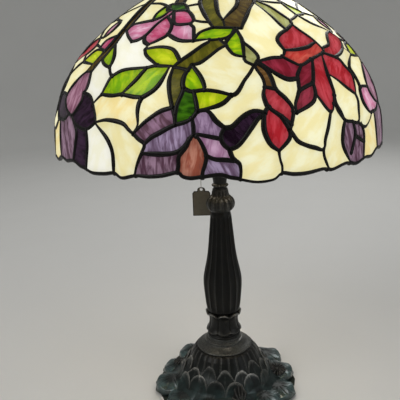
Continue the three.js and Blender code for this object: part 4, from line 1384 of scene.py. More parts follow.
class LAMP_OT_cap(bpy.types.Operator):
    """Spin the heat cap over the shade's opening and screw the finial on it"""

    bl_idname = "lamp.cap"
    bl_label = "Cap and finial"

    def execute(self, context):
        low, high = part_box("spun_cap")
        bore = context.scene.lamp.column.bore
        wall = 1.3 * MM
        height = high.z - low.z
        shape = [
            (1.0, 0.06), (0.985, 0.0), (0.955, 0.06), (0.93, 0.16), (0.88, 0.22), (0.84, 0.20), (0.80, 0.27),
            (0.68, 0.42), (0.54, 0.56), (0.44, 0.64), (0.42, 0.70), (0.36, 0.72), (0.30, 0.79), (0.22, 0.90),
            (0.17, 1.0),
        ]
        outside = catmull_rom([(high.x * r, low.z + height * h) for r, h in shape], 4)
        inside = [(r - wall * 0.6, z - wall) for r, z in outside[6:]]
        profile = outside + [(bore, high.z), (bore, high.z - wall)] + inside[::-1]
        cap = Builder()
        skin = turned(profile, 120)
        cap.add(skin, rub=[0.5 if z < low.z + 0.1 * height else 0.12 for _, z in profile for _ in range(120)])
        cap.piece("spun_cap_turned", "shade", [bronze()], "bronze", ("spun_cap",), 35)

        low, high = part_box("finial")
        tall = high.z - low.z
        shape = [
            (0.0, 0.0), (0.72, 0.0), (0.80, 0.05), (0.72, 0.10), (0.45, 0.14), (0.36, 0.22), (0.50, 0.27),
            (0.52, 0.31), (0.40, 0.35), (0.62, 0.44), (0.90, 0.54), (1.0, 0.62), (0.93, 0.72), (0.66, 0.82),
            (0.36, 0.90), (0.22, 0.95), (0.13, 0.99), (0.0, 1.0),
        ]
        profile = catmull_rom([(max(high.x * r, 0.00005), low.z + tall * h) for r, h in shape], 4)
        finial = Builder()

        def lobed(a, r, z):
            share_up = (z - low.z) / tall
            swell = smoothstep(0.4, 0.5, share_up) * (1 - smoothstep(0.86, 0.95, share_up))
            return r * (1 - 0.07 * swell * (1 - abs(math.cos(4 * a)) ** 0.6)), z

        rings = turned(profile, 96, lobed, False)
        verts, faces = rings
        n = 96
        faces = faces + [tuple(reversed(range(n))), tuple(range(len(verts) - n, len(verts)))]
        finial.add(
            (verts, faces),
            rub=rub_by_shape(profile, n, lambda a, r, z: 0.35 if r > high.x * 0.92 else 0.1)
        )
        finial.piece("finial_turned", "finial", [bronze()], "bronze", ("finial",), 50)
        return {"FINISHED"}


# The base

# Lily pads round the base: azimuth in degrees, distance of the pad's middle from the axis, its radius, and
# how high its
# edge lies, in millimetres.
LILY_PADS = [
    (-145, 82, 25, 12), (-113, 75, 24, 9.5), (-80, 77, 24.5, 12.5), (-49, 76, 23.5, 10), (-18, 77, 22.5, 12),
    (14, 79, 23, 9.5), (42, 78, 23, 11.5), (66, 80, 24.5, 9.5), (98, 77, 24, 12), (131, 83, 25, 9.5),
    (176, 77, 27, 12),
]
# The starburst flowers that lie on the pads: azimuth, distance and radius
BLOOMS = [(17, 77, 15), (92, 76, 13), (157, 77, 13), (-118, 75, 12)]


class BaseForm:
    """The height of the casting over each point, with how much it is rubbed and how much patina it holds."""

    # the cone under the collar, as (radius, height) in millimetres
    CONE = [
        (38, 64), (41.5, 62.5), (45.5, 57), (49.5, 49), (52.5, 43.5), (57, 37), (63, 30.5), (70, 25),
        (80, 20), (112, 15)
    ]

    def __init__(self, s):
        self.s = s

    def cone(self, r):
        for (r0, z0), (r1, z1) in zip(self.CONE, self.CONE[1:]):
            if r <= r1:
                return z0 + (z1 - z0) * (r - r0) / (r1 - r0)
        return self.CONE[-1][1]

    @staticmethod
    def edge(azimuth):
        """Radius of the outline: the furthest that any pad reaches in this direction."""
        best = 88.0
        for pad_azimuth, distance, radius, _ in LILY_PADS:
            away = math.radians(azimuth - pad_azimuth)
            across = distance * math.sin(away)
            if math.cos(away) > 0 and abs(across) < radius:
                reach = distance * math.cos(away) + math.sqrt(radius * radius - across * across)
                best = max(best, reach)
        wave = 0.7 * math.sin(math.radians(azimuth) * 23) + 0.5 * math.sin(math.radians(azimuth) * 37 + 1)
        return best + wave

    def pad(self, azimuth, r):
        """Height and patina of the highest pad over a point, and how near its edge the point is."""
        x, y = r * math.sin(math.radians(azimuth)), r * math.cos(math.radians(azimuth))
        best, moss, edge = -100.0, 0.0, 0.0
        for pad_azimuth, distance, radius, level in LILY_PADS:
            px = distance * math.sin(math.radians(pad_azimuth))
            py = distance * math.cos(math.radians(pad_azimuth))
            d = math.hypot(x - px, y - py)
            t = d / radius
            if t > 1.03:
                continue
            turn = math.atan2(y - py, x - px)
            veins = max(0.0, math.cos(9 * turn + pad_azimuth)) ** 12 * smoothstep(0.1, 0.3, t) * (1 - t * 0.5)
            wave = 1.3 * math.sin(5 * turn + pad_azimuth) * smoothstep(0.55, 1.0, t)
            height = level + 5.5 * (1 - min(t, 1) ** 2) + wave - 0.9 * veins - 3.5 * smoothstep(0.96, 1.03, t)
            if height > best:
                best, moss, edge = height, smoothstep(0.2, 0.9, t), smoothstep(0.86, 0.97, t)
        return best, moss, edge

    def bloom(self, azimuth, r):
        """A starburst of narrow petals round a small boss."""
        x, y = r * math.sin(math.radians(azimuth)), r * math.cos(math.radians(azimuth))
        lift = rub = 0.0
        for bloom_azimuth, distance, radius in BLOOMS:
            bx = distance * math.sin(math.radians(bloom_azimuth))
            by = distance * math.cos(math.radians(bloom_azimuth))
            d = math.hypot(x - bx, y - by) / radius
            if d > 1:
                continue
            rays = abs(math.cos(8 * math.atan2(y - by, x - bx)))
            inside = 1 - smoothstep(0.82 + 0.16 * rays, 1.0, d)
            boss = 1 - smoothstep(0.12, 0.24, d)
            lift = max(lift, inside * (1.1 + 1.6 * rays ** 1.5 * smoothstep(0.15, 0.4, d)) + 1.6 * boss)
            rub = max(rub, inside * (rays ** 8 * smoothstep(0.2, 0.4, d) * 0.2 + boss * 0.15))
        return lift, rub

    def petals(self, azimuth, r):
        """Two rows of arched petals, each with a thick rubbed lip."""
        lift = rub = 0.0
        rows = ((0.0, 50.0, 7.5, 25.0), (0.5, 58.0, 6.5, 21.0))
        for offset, top, arch, length in rows:
            n = round(azimuth / 360 * self.s.petals - offset)
            middle = (n + offset) * 360 / self.s.petals
            u = (azimuth - middle) / (180 / self.s.petals)
            jitter = 2.2 * math.sin(n * 2.4 + offset * 5)
            start = top + jitter + arch * abs(u) ** 2.6
            depth = r - start
            if depth < -1.5 or depth > length:
                continue
            inside = smoothstep(-0.5, 0.6, depth) * (1 - smoothstep(0.55, 1.0, depth / length))
            lip = math.exp(-((depth - 0.8) / 1.15) ** 2)
            cup = 1 - 0.55 * (1 - u * u) * smoothstep(1, 7, depth)
            vein = math.exp(-(u / 0.09) ** 2) * smoothstep(2, 5, depth)
            here = self.s.petal_height / MM * (inside * cup + 0.45 * lip) + 0.35 * vein * inside
            if here > lift:
                lift, rub = here, (0.55 + 0.3 * math.sin(n * 1.9 + offset)) * lip + 0.05 * vein * inside
        return lift, rub

    def surface(self, azimuth, r):
        """Height in millimetres, rub and moss at a point."""
        cone = self.cone(r)
        pleat = smoothstep(39.0, 41.0, r) * (1 - smoothstep(52, 58, r))
        turn = azimuth / 360 * self.s.pleats
        ridge = abs((turn - math.floor(turn)) * 2 - 1)
        groove = 1 - math.sqrt(max(0.0, 1 - (1 - ridge) ** 2))
        cone -= pleat * groove * self.s.pleat_depth / MM
        rub = pleat * 0.16 * smoothstep(0.0, 0.12, ridge) * (1 - smoothstep(0.12, 0.3, ridge))
        lift, petal_rub = self.petals(azimuth, r)
        cone += lift
        rub = max(rub * (1 - min(1, lift)), petal_rub)
        moss = 0.12 * smoothstep(40, 60, r)
        pad, pad_moss, pad_edge = self.pad(azimuth, r)
        fade = smoothstep(58, 74, r)
        height = cone * (1 - fade) + max(pad, cone - 30 * fade) * fade
        moss = max(moss, pad_moss * fade)
        rub = rub * (1 - fade) + fade * pad_edge * 0.10
        flower, flower_rub = self.bloom(azimuth, r)
        return height + flower, max(rub, flower_rub), moss * (1 - min(1.0, flower))


class LAMP_OT_base(bpy.types.Operator):
    """Cast the water-lily base: pleats, two rows of petals, starburst flowers and a skirt of lily pads"""

    bl_idname = "lamp.base"
    bl_label = "Base casting"
    AROUND = 720
    ALONG = 130

    def execute(self, context):
        s = context.scene.lamp.base
        form = BaseForm(s)
        low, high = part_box("base_casting")
        bore = context.scene.lamp.column.bore / MM
        floor = low.z / MM
        wall = s.wall / MM
        top = high.z / MM
        rings, rub, moss = [], [], []

        def ring_of(radius_at, height_at):
            ring = []
            for i in range(self.AROUND):
                azimuth = 360 * i / self.AROUND - 180
                r = radius_at(azimuth)
                a = math.radians(azimuth)
                ring.append(Vector((r * math.sin(a), -r * math.cos(a), height_at(azimuth, r))) * MM)
            return ring

        edges = {
            360 * i / self.AROUND - 180: form.edge(360 * i / self.AROUND - 180) for i in range(self.AROUND)
        }
        rings.append(ring_of(lambda a: bore, lambda a, r: top))
        rub += [0.0] * self.AROUND
        moss += [0.0] * self.AROUND
        for j in range(self.ALONG + 1):
            t = j / self.ALONG
            values = []

            def height_at(azimuth, r):
                value = form.surface(azimuth, r)
                values.append(value)
                return max(value[0], floor + 4)

            rings.append(ring_of(lambda a, t=t: 38 + (edges[a] - 38) * t, height_at))
            rub += [v[1] for v in values]
            moss += [v[2] for v in values]
        last = [v.z / MM for v in rings[-1]]
        under = [
            (0.8, lambda i: max(last[i] * 0.45, floor + 2)), (0.3, lambda i: floor + 1),
            (-0.8, lambda i: floor),
            (-wall, lambda i: floor), (-wall - 1.5, lambda i: max(last[i] - wall - 2, floor + 1)),
        ]
        for inset, height in under:
            ring = []
            for i, (azimuth, r) in enumerate(edges.items()):
                a = math.radians(azimuth)
                ring.append(Vector(((r + inset) * math.sin(a), -(r + inset) * math.cos(a), height(i))) * MM)
            rings.append(ring)
        for r, z in ((82, 10), (66, 20), (54, 31), (47, 43), (41, 54), (35, top - wall), (bore, top - wall)):
            rings.append(ring_of(lambda a, r=r: r, lambda a, r, z=z: z))
        spare = len(rings) * self.AROUND - len(rub)
        verts, faces = loft(rings, True)
        faces = [tuple(reversed(f)) for f in faces]
        builder = Builder()
        builder.add((verts, faces), rub=rub + [0.0] * spare, moss=moss + [0.3] * spare)
        builder.piece("base_casting_sculpt", "stand", [bronze()], "bronze", ("base_casting",), 45)
        return {"FINISHED"}


# The column


def bored(profile, bore, bottom, top):
    """A profile closed on the pipe's bore."""
    return [(bore, bottom)] + profile + [(bore, top)]


class LAMP_OT_column(bpy.types.Operator):
    """Turn and chase the collar, foot, shaft, knop, neck and the cluster that carries the sockets"""

    bl_idname = "lamp.column"
    bl_label = "Column"
    SEGMENTS = 256

    def turned_piece(self, name, node, points, steps, shape=None, worth=None, moss=0.0, angle=45):
        """points are (radius, height) in millimetres from below upwards. The ends are the node's own."""
        low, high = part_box(node)
        bore = bpy.context.scene.lamp.column.bore
        curve = catmull_rom([(r * MM, z * MM) for r, z in points], steps)
        curve = [(r, min(max(z, low.z), high.z)) for r, z in curve]
        profile = bored(curve, bore, low.z, high.z)
        inner = bore * 1.01
        skin = turned(
            profile, self.SEGMENTS,
            (lambda a, r, z: (r, z) if r < inner else shape(a, r, z)) if shape else None
        )
        builder = Builder()
        worth = worth or (lambda a, r, z: 0.1)
        builder.add(skin, rub=rub_by_shape(profile, self.SEGMENTS, worth), moss=moss)
        return builder.piece(name, "stand", [bronze()], "bronze", (node,), angle)

    def execute(self, context):
        s = context.scene.lamp.column
        self.collar()
        self.foot(s)
        self.shaft(s)
        self.knop(s)
        self.neck(s)
        self.cluster(context.scene.lamp.fittings)
        return {"FINISHED"}

    def collar(self):
        low, high = (v.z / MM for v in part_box("base_collar"))
        points = [
            (38, low), (38.6, low + 0.8), (38, low + 1.6), (36, low + 2.6), (31.5, low + 4.6),
            (28, low + 6.8),
            (26.8, low + 8), (26.8, low + 10.2), (25.6, low + 11), (23.4, low + 11.8), (23.2, high - 1.2),
            (22, high),
        ]

        def worth(a, r, z):
            return 0.22 if r > 37.5 * MM or abs(z / MM - low - 10) < 1.2 else 0.15

        self.turned_piece("base_collar_turned", "base_collar", points, 4, None, worth, 0.06)

    def foot(self, s):
        low, high = (v.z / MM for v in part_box("column_foot"))
        points = [
            (22.4, low), (23.4, low + 1.2), (23, low + 2.6), (21.2, low + 4), (21.4, low + 5.2),
            (24.2, low + 6.6),
            (24.9, low + 8), (23.2, low + 11), (21.2, low + 16), (20.3, low + 22), (20.6, low + 28),
            (22.0, low + 32.5), (24.2, low + 35.2), (25.2, low + 36.4), (24.4, low + 37.3), (22.6, high),
        ]

        def petal(a):
            return abs(math.cos(s.leaves / 2 * a))

        def shape(a, r, z):
            share_up = (z / MM - low) / (high - low)
            body = smoothstep(0.14, 0.22, share_up)
            crease = 1 - petal(a) ** 0.35
            r -= 1.6 * MM * crease * body
            tip = smoothstep(0.84, 0.95, share_up)
            z -= 4.2 * MM * tip * (1 - petal(a)) ** 1.2
            hem = smoothstep(0.12, 0.17, share_up) * (1 - smoothstep(0.2, 0.34, share_up))
            z += 2.6 * MM * hem * (1 - petal(a))
            return r, z

        def worth(a, r, z):
            share_up = (z / MM - low) / (high - low)
            lip = smoothstep(0.88, 0.94, share_up) * (1 - smoothstep(0.97, 1.0, share_up))
            hem = smoothstep(0.15, 0.18, share_up) * (1 - smoothstep(0.20, 0.26, share_up))
            return 0.5 * lip * petal(a) + 0.15 * hem + 0.03

        self.turned_piece("column_foot_chased", "column_foot", points, 5, shape, worth)

    def shaft(self, s):
        low, high = (v.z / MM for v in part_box("column_shaft"))
        stations = [
            (0.0, 21.6), (0.012, 23.0), (0.06, 24.2), (0.13, 25.2), (0.24, 26.5), (0.33, 26.5), (0.41, 24.6),
            (0.5, 21.8), (0.58, 19.8), (0.67, 18.2), (0.8, 16.4), (0.9, 15.0), (0.96, 14.2), (0.985, 13.4),
            (1.0, 12.6),
        ]
        points = [(r, low + (high - low) * t) for t, r in stations]

        def scoop(a):
            turn = a / (2 * math.pi) * s.flutes
            u = (turn - math.floor(turn)) * 2 - 1
            return 1 - abs(u) ** 2.2

        def shape(a, r, z):
            share_up = (z / MM - low) / (high - low)
            depth = smoothstep(0.015, 0.06, share_up) * (1 - smoothstep(0.93, 0.975, share_up))
            return r - s.flute_depth * scoop(a) * depth * (0.55 + 0.45 * r / (26.5 * MM)), z

        def worth(a, r, z):
            return 0.07 * (1 - smoothstep(0.0, 0.16, scoop(a)))

        self.turned_piece("column_shaft_fluted", "column_shaft", points, 5, shape, worth)

    def knop(self, s):
        low, high = (v.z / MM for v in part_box("column_knop"))
        points = [
            (13.6, low), (14.2, low + 1), (16.0, low + 2.2), (18.2, low + 4.8), (19.4, low + 9),
            (19.3, low + 12.5),
            (18.2, low + 16), (15.6, low + 19.3), (12.7, low + 21.6), (11.6, low + 24), (10.9, low + 27.4),
            (10, high),
        ]

        def lobe(a):
            return abs(math.cos(s.gadroons / 2 * a)) ** 0.55

        def shape(a, r, z):
            share_up = (z / MM - low) / (high - low)
            body = smoothstep(0.05, 0.2, share_up) * (1 - smoothstep(0.86, 0.98, share_up))
            return r - 1.9 * MM * (1 - lobe(a)) * body, z

        def worth(a, r, z):
            return 0.12 * smoothstep(0.9, 1.0, lobe(a)) * smoothstep(15 * MM, 18.5 * MM, r) + 0.07

        self.turned_piece("column_knop_gadrooned", "column_knop", points, 5, shape, worth)

    def neck(self, s):
        low, high = (v.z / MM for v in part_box("column_neck"))
        points = [
            (9, low), (8.8, low + 1.8), (10.2, low + 3), (10.9, low + 4.4), (10.2, low + 5.8), (8.9, low + 7),
            (9.1, low + 9.5), (9.7, low + 13), (11.1, low + 18.5), (13.6, low + 27), (17, low + 37),
            (19.2, low + 44), (20, low + 48.5), (19.6, high),
        ]

        def shape(a, r, z):
            share_up = (z / MM - low) / (high - low)
            bead = math.exp(-((share_up - 0.085) / 0.03) ** 2)
            leaf = smoothstep(0.2, 0.45, share_up) * (1 - smoothstep(0.93, 1.0, share_up))
            r += 0.45 * MM * bead * math.cos(18 * a)
            return r - 1.0 * MM * leaf * (1 - abs(math.cos(s.leaves / 2 * a)) ** 0.4), z

        def worth(a, r, z):
            share_up = (z / MM - low) / (high - low)
            return 0.1 * math.exp(-((share_up - 0.085) / 0.03) ** 2) + 0.02

        self.turned_piece("column_neck_chased", "column_neck", points, 5, shape, worth)

    def cluster(self, s):
        low, high = (v.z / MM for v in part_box("socket_cluster"))
        tall = high - low
        radius = 15
        points = [
            (radius * 1.16, low), (radius * 1.2, low + 1), (radius * 1.18, low + 4), (radius * 0.8, low + 9),
            (radius * 0.72, low + tall * 0.3), (radius * 0.8, low + tall * 0.43),
            (radius * 0.98, low + tall * 0.5),
            (radius, low + tall * 0.56), (radius, low + tall * 0.8), (radius * 0.9, low + tall * 0.88),
            (radius * 0.7, low + tall * 0.95), (radius * 0.6, high),
        ]
        bore = bpy.context.scene.lamp.column.bore
        profile = bored(catmull_rom([(r * MM, z * MM) for r, z in points], 5), bore, low * MM, high * MM)
        builder = Builder()
        builder.add(turned(profile, 128), rub=0.08, moss=0.0)
        for direction in (s.direction, s.direction + math.pi):
            socket_frame = along(direction, math.degrees(s.rise), s.crossing)
            stem = [(4.9, 9.5), (4.9, 16.5), (5.0, 17), (5.0, 24), (0.05, 24), (0.05, 9.5)]
            skin = turned([(r * MM, z * MM) for r, z in stem], 32)
            builder.add(moved(skin, socket_frame), rub=0.08, moss=0.0)
        builder.piece("socket_cluster_turned", "stand", [bronze()], "bronze", ("socket_cluster",), 40)


# Sockets, bulbs and pull chains

SIDES = (("left", 0.0), ("right", math.pi))


class LAMP_OT_sockets(bpy.types.Operator):
    """Draw the brass caps and shells of the two sockets"""

    bl_idname = "lamp.sockets"
    bl_label = "Sockets"

    def execute(self, context):
        s = context.scene.lamp.fittings
        for side, turn in SIDES:
            socket_frame = along(s.direction + turn, math.degrees(s.rise), s.crossing)
            self.cap(s, side, socket_frame)
            self.shell(s, side, socket_frame)
        return {"FINISHED"}

    def cap(self, s, side, socket_frame):
        r, z, w = s.shell_radius, s.cap_from, s.shell_wall
        hole = 5.3 * MM
        outside = catmull_rom([
            (hole, z), (9 * MM, z + 0.2 * MM), (r * 0.7, z + 2.2 * MM), (r * 0.9, z + 4.8 * MM),
            (r * 0.985, z + 7.6 * MM), (r, z + 9 * MM), (r, z + 10 * MM),
        ], 5)
        inside = [(max(hole, p - w), q + w * 0.8) for p, q in outside[:-1]]
        profile = outside + [(r - w, z + 10 * MM)] + inside[::-1]
        builder = Builder()
        skin = moved(turned(profile, TURNED_SIDES), socket_frame)
        builder.add(skin)
        builder.piece(f"socket_cap_{side}_drawn", "stand", [brass()], "brass", (f"socket_cap_{side}",), 35)

    def shell(self, s, side, socket_frame):
        r, z, w = s.shell_radius, s.shell_from, s.shell_wall
        end = z + s.shell_length
        beads = [(r, z), (r, z + 3 * MM)]
        for k in range(2):
            at = z + (4.2 + 2.6 * k) * MM
            beads += [(r, at - 1 * MM), (r + 0.45 * MM, at), (r, at + 1 * MM)]
        outside = catmull_rom(beads, 4) + [(r, end - 3 * MM), (r + 0.3 * MM, end - 1.2 * MM), (r, end)]
        profile = outside + [(r - w, end), (r - w, z)]
        builder = Builder()
        builder.add(moved(turned(profile, TURNED_SIDES), socket_frame))
        low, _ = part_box(f"socket_shell_{side}")
        x, y = chain_place(side)
        tube = [
            (2.0, 0), (3.6, 0), (4.0, 0.6), (4.0, 1.6), (3.2, 2.6), (3.0, 9), (2.0, 9),
        ]
        spout = turned([(p * MM, low.z + q * MM) for p, q in tube], 32)
        builder.add(moved(spout, Matrix.Translation((x, y, 0))))
        builder.piece(
            f"socket_shell_{side}_drawn", "stand", [brass()], "brass", (f"socket_shell_{side}",), 35
        )


def chain_place(side):
    low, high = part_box(f"pull_chain_{side}")
    return (low.x + high.x) / 2, (low.y + high.y) / 2


class LAMP_OT_bulbs(bpy.types.Operator):
    """Blow the two frosted bulbs and roll their screw bases"""

    bl_idname = "lamp.bulbs"
    bl_label = "Bulbs"

    def execute(self, context):
        s = context.scene.lamp.fittings
        for side, turn in SIDES:
            socket_frame = along(s.direction + turn, math.degrees(s.rise), s.crossing)
            self.screw(s, side, socket_frame)
            self.envelope(s, side, socket_frame)
        return {"FINISHED"}

    def screw(self, s, side, socket_frame):
        r, z, length = s.bulb_base, s.bulb_from, s.bulb_base_length
        points = [(0.05 * MM, z), (4 * MM, z), (6 * MM, z + 2.6 * MM), (r - 0.8 * MM, z + 5 * MM)]
        turns = 4
        for k in range(turns):
            at = z + 6.4 * MM + k * (length - 9 * MM) / turns
            points += [(r - 0.9 * MM, at), (r, at + 1.5 * MM)]
        points += [(r - 0.6 * MM, z + length - 2 * MM), (r, z + length - 1 * MM), (r, z + length)]
        profile = catmull_rom(points, 4) + [(0.05 * MM, z + length)]
        builder = Builder()
        builder.add(moved(turned(profile, 64), socket_frame))
        builder.piece(
            f"bulb_base_{side}_rolled", f"bulb_{side}", [brass()], "brass", (f"bulb_base_{side}",), 60
        )

    def envelope(self, s, side, socket_frame):
        r = s.bulb_radius
        top = s.bulb_from + s.bulb_base_length + 0.3 * MM
        shape = [
            (s.bulb_base - 0.6 * MM, 0.0), (r * 0.43, 0.06), (r * 0.50, 0.15), (r * 0.70, 0.28),
            (r * 0.91, 0.43),
            (r, 0.61), (r * 0.94, 0.77), (r * 0.72, 0.905), (r * 0.38, 0.98), (0.05 * MM, 1.0),
        ]
        profile = catmull_rom([(p, top + s.bulb_length * q) for p, q in shape], 6) + [(0.05 * MM, top)]
        builder = Builder()
        builder.add(moved(turned(profile, TURNED_SIDES), socket_frame))
        builder.piece(
            f"bulb_glass_{side}_blown", f"bulb_{side}", [bulb_glass()], "frosted", (f"bulb_glass_{side}",),
            60
        )


class LAMP_OT_chains(bpy.types.Operator):
    """String the beads of the pull chains and turn their knobs"""

    bl_idname = "lamp.chains"
    bl_label = "Pull chains"

    def execute(self, context):
        s = context.scene.lamp.fittings
        for side, _ in SIDES:
            low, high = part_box(f"pull_chain_{side}")
            x, y = chain_place(side)
            builder = Builder()
            count = int((high.z - low.z - 2 * s.bead_radius) / s.bead_pitch)
            for k in range(count + 1):
                centre = Vector((x, y, high.z - s.bead_radius - k * s.bead_pitch))
                builder.add(ball(centre, s.bead_radius, 7, 12))
            wire = [(0.35 * MM, low.z), (
                0.35 * MM, high.z - s.bead_radius
            ), (0.02 * MM, high.z - s.bead_radius),
                    (0.02 * MM, low.z)]
            builder.add(moved(turned(wire, 10), Matrix.Translation((x, y, 0))))
            builder.piece(
                f"pull_chain_{side}_beads", f"chain_{side}", [brass()], "brass", (f"pull_chain_{side}",),
                60
            )
            self.knob(side, x, y)
        return {"FINISHED"}

    def knob(self, side, x, y):
        low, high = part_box(f"pull_knob_{side}")
        r, tall = (high.x - low.x) / 2, high.z - low.z
        shape = [
            (0.01, 0.0), (0.5, 0.01), (0.86, 0.06), (1.0, 0.18), (0.96, 0.3), (0.8, 0.44), (0.62, 0.6),
            (0.5, 0.76),
            (0.46, 0.84), (0.54, 0.9), (0.46, 0.98), (0.01, 1.0),
        ]
        profile = catmull_rom([(r * p, low.z + tall * q) for p, q in shape], 5)
        builder = Builder()
        builder.add(moved(turned(profile, 40), Matrix.Translation((x, y, 0))))
        builder.piece(
            f"pull_knob_{side}_turned", f"chain_{side}", [brass()], "brass", (f"pull_knob_{side}",), 60
        )


def inside_loop(loop, x, y):
    """Whether a point lies inside a closed outline of (x, y) points."""
    inside = False
    for (ax, ay), (bx, by) in zip(loop, loop[1:] + loop[:1]):
        if (ay > y) != (by > y) and x < ax + (y - ay) * (bx - ax) / (by - ay):
            inside = not inside
    return inside


class LAMP_OT_tag(bpy.types.Operator):
    """Cut the blank card tag and hang it from the left chain on its thread"""

    bl_idname = "lamp.tag"
    bl_label = "Tag"
    CORNER_STEPS = 6
    THREAD_SIDES = 12

    def execute(self, context):
        s = context.scene.lamp.tag
        self.card(s)
        self.thread(s)
        return {"FINISHED"}

    def outline(self, s, width, height, inset=0.0):
        """Points of the card's outline, inset by a distance, anticlockwise from the lower left."""
        half, shoulder = width / 2 - inset, -s.shoulder - inset
        r = max(s.corner - inset, 0.2 * MM)
        neck = s.neck - inset
        bottom = -height + inset
        points = []
        corners = [(-half + r, bottom + r, 180), (half - r, bottom + r, 270)]
        for cx, cz, start in corners:
            for k in range(self.CORNER_STEPS + 1):
                a = math.radians(start + 90 * k / self.CORNER_STEPS)
                points.append((cx + r * math.cos(a), cz + r * math.sin(a)))
        points.append((half, shoulder - s.slope * 1.3))
        points.append((half - s.slope, shoulder))
        steps = 14
        for k in range(steps + 1):
            a = math.radians(180 * k / steps)
            x, z = math.cos(a), math.sin(a)
            tall = s.shoulder * 0.96
            points.append((neck * math.copysign(abs(x) ** 0.75, x), -tall - inset + tall * abs(z) ** 0.75))
        points.append((-half + s.slope, shoulder))
        points.append((-half, shoulder - s.slope * 1.3))
        return points

    def card(self, s):
        low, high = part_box("swing_tag")
        width, height = high.x - low.x, high.z - low.z
        x0, y0, thick = (low.x + high.x) / 2, (low.y + high.y) / 2, high.y - low.y
        eye_z = -2 * MM - s.eye * 0.5
        rim = self.outline(s, width, height)
        inner = self.outline(s, width, height, s.border)
        inner_soft = self.outline(s, width, height, s.border * 1.25)
        eye = [
            (
                s.eye * math.cos(2 * math.pi * k / 24), eye_z + s.eye * math.sin(2 * math.pi * k / 24)
            ) for k in range(24)
        ]
        loops = [rim, inner, inner_soft, eye]
        flat, edges = [], []
        for loop in loops:
            start = len(flat)
            flat += [Vector(p) for p in loop]
            edges += [(start + i, start + (i + 1) % len(loop)) for i in range(len(loop))]
        border_end = len(rim)
        inner_end = border_end + len(inner)
        points, _, faces, sources, _, _ = delaunay_2d_cdt([v.copy() for v in flat], edges, [], 1, 1e-6, True)
        keep = []
        for face in faces:
            middle = sum((points[i] for i in face), Vector((0, 0))) / len(face)
            if math.hypot(middle.x, middle.y - eye_z) > s.eye * 0.97 and inside_loop(rim, middle.x, middle.y):
                keep.append(tuple(face))
        border = [1.0 if min(src) < inner_end else 0.0 for src in (src or [inner_end] for src in sources)]
        n = len(points)
        bend = [0.35 * MM * math.sin((p.x / width + 0.5) * math.pi) for p in points]
        half = thick / 2 * 0.8
        front = [Vector((x0 + p.x, y0 - half + b * 0.2, high.z + p.y)) for p, b in zip(points, bend)]
        back = [Vector((x0 + p.x, y0 + half + b * 0.2, high.z + p.y)) for p, b in zip(points, bend)]
        walls = {}
        for face in keep:
            for a, b in zip(face, face[1:] + face[:1]):
                walls[(a, b)] = True
        faces_out = keep + [tuple(i + n for i in reversed(face)) for face in keep]
        faces_out += [(b, a, a + n, b + n) for a, b in walls if (b, a) not in walls]
        builder = Builder()
        builder.add((front + back, faces_out), border=border + border)
        builder.piece("swing_tag_card", "tag", [card()], "card", ("swing_tag",), 30)

    def thread(self, s):
        _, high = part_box("tag_thread")
        tag_low, tag_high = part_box("swing_tag")
        x, y = chain_place("left")
        plane = (tag_low.y + tag_high.y) / 2
        top, foot = high.z, tag_high.z + 0.3 * MM
        eye_z = tag_high.z - s.eye
        route = [
            (x, y, top), (x, y, (top + foot) / 2), (x, y, foot + 2 * MM),
            (x, plane - 0.4 * MM, eye_z + 0.3 * MM),
            (x, plane + 1 * MM, eye_z - 0.2 * MM),
        ]
        points = [Vector(p) for p in catmull_rom(route, 10)]
        normals = [Vector((1, 0, 0))] * len(points)
        builder = Builder()
        builder.add(swept(points, normals, 2 * s.thread, 2 * s.thread, self.THREAD_SIDES))
        obj = builder.piece("tag_thread_twisted", "tag", [thread()], "thread", ("tag_thread",), 60)
        length = sum((b - a).length for a, b in zip(points, points[1:]))
        tuple(points[0])
        [tuple(p) for p in points]


class LAMP_OT_plain_parts(bpy.types.Operator):
    """Give the pipes, nuts, weight, felt and other small parts their finishes"""

    bl_idname = "lamp.plain_parts"
    bl_label = "Pipes, nuts and felt"

    def execute(self, context):
        finishes = {
            "felt_pad": felt, "base_weight": iron, "base_washer": steel, "base_nut": steel,
            "cord_grommet": rubber,
            "main_pipe": steel, "riser_pipe": brass, "spider_nut": brass, "shade_spider": brass,
            "socket_core_left": porcelain, "socket_core_right": porcelain,
        }
        for node, finish in finishes.items():
            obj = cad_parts[node]
            for slot in obj.material_slots:
                slot.link = "DATA"
                slot.material = finish()
            if not obj.material_slots:
                obj.data.materials.append(finish())
        return {"FINISHED"}


# The stage


def area_light(name, place, target, width, watts, colour):
    light = bpy.data.lights.new(name, "AREA")
    light.size = width
    light.energy = watts
    light.color = colour
    obj = bpy.data.objects.new(name, light)
    obj.location = place
    obj.rotation_euler = (Vector(target) - Vector(place)).to_track_quat("-Z", "Y").to_euler()
    bpy.context.scene.collection.objects.link(obj)


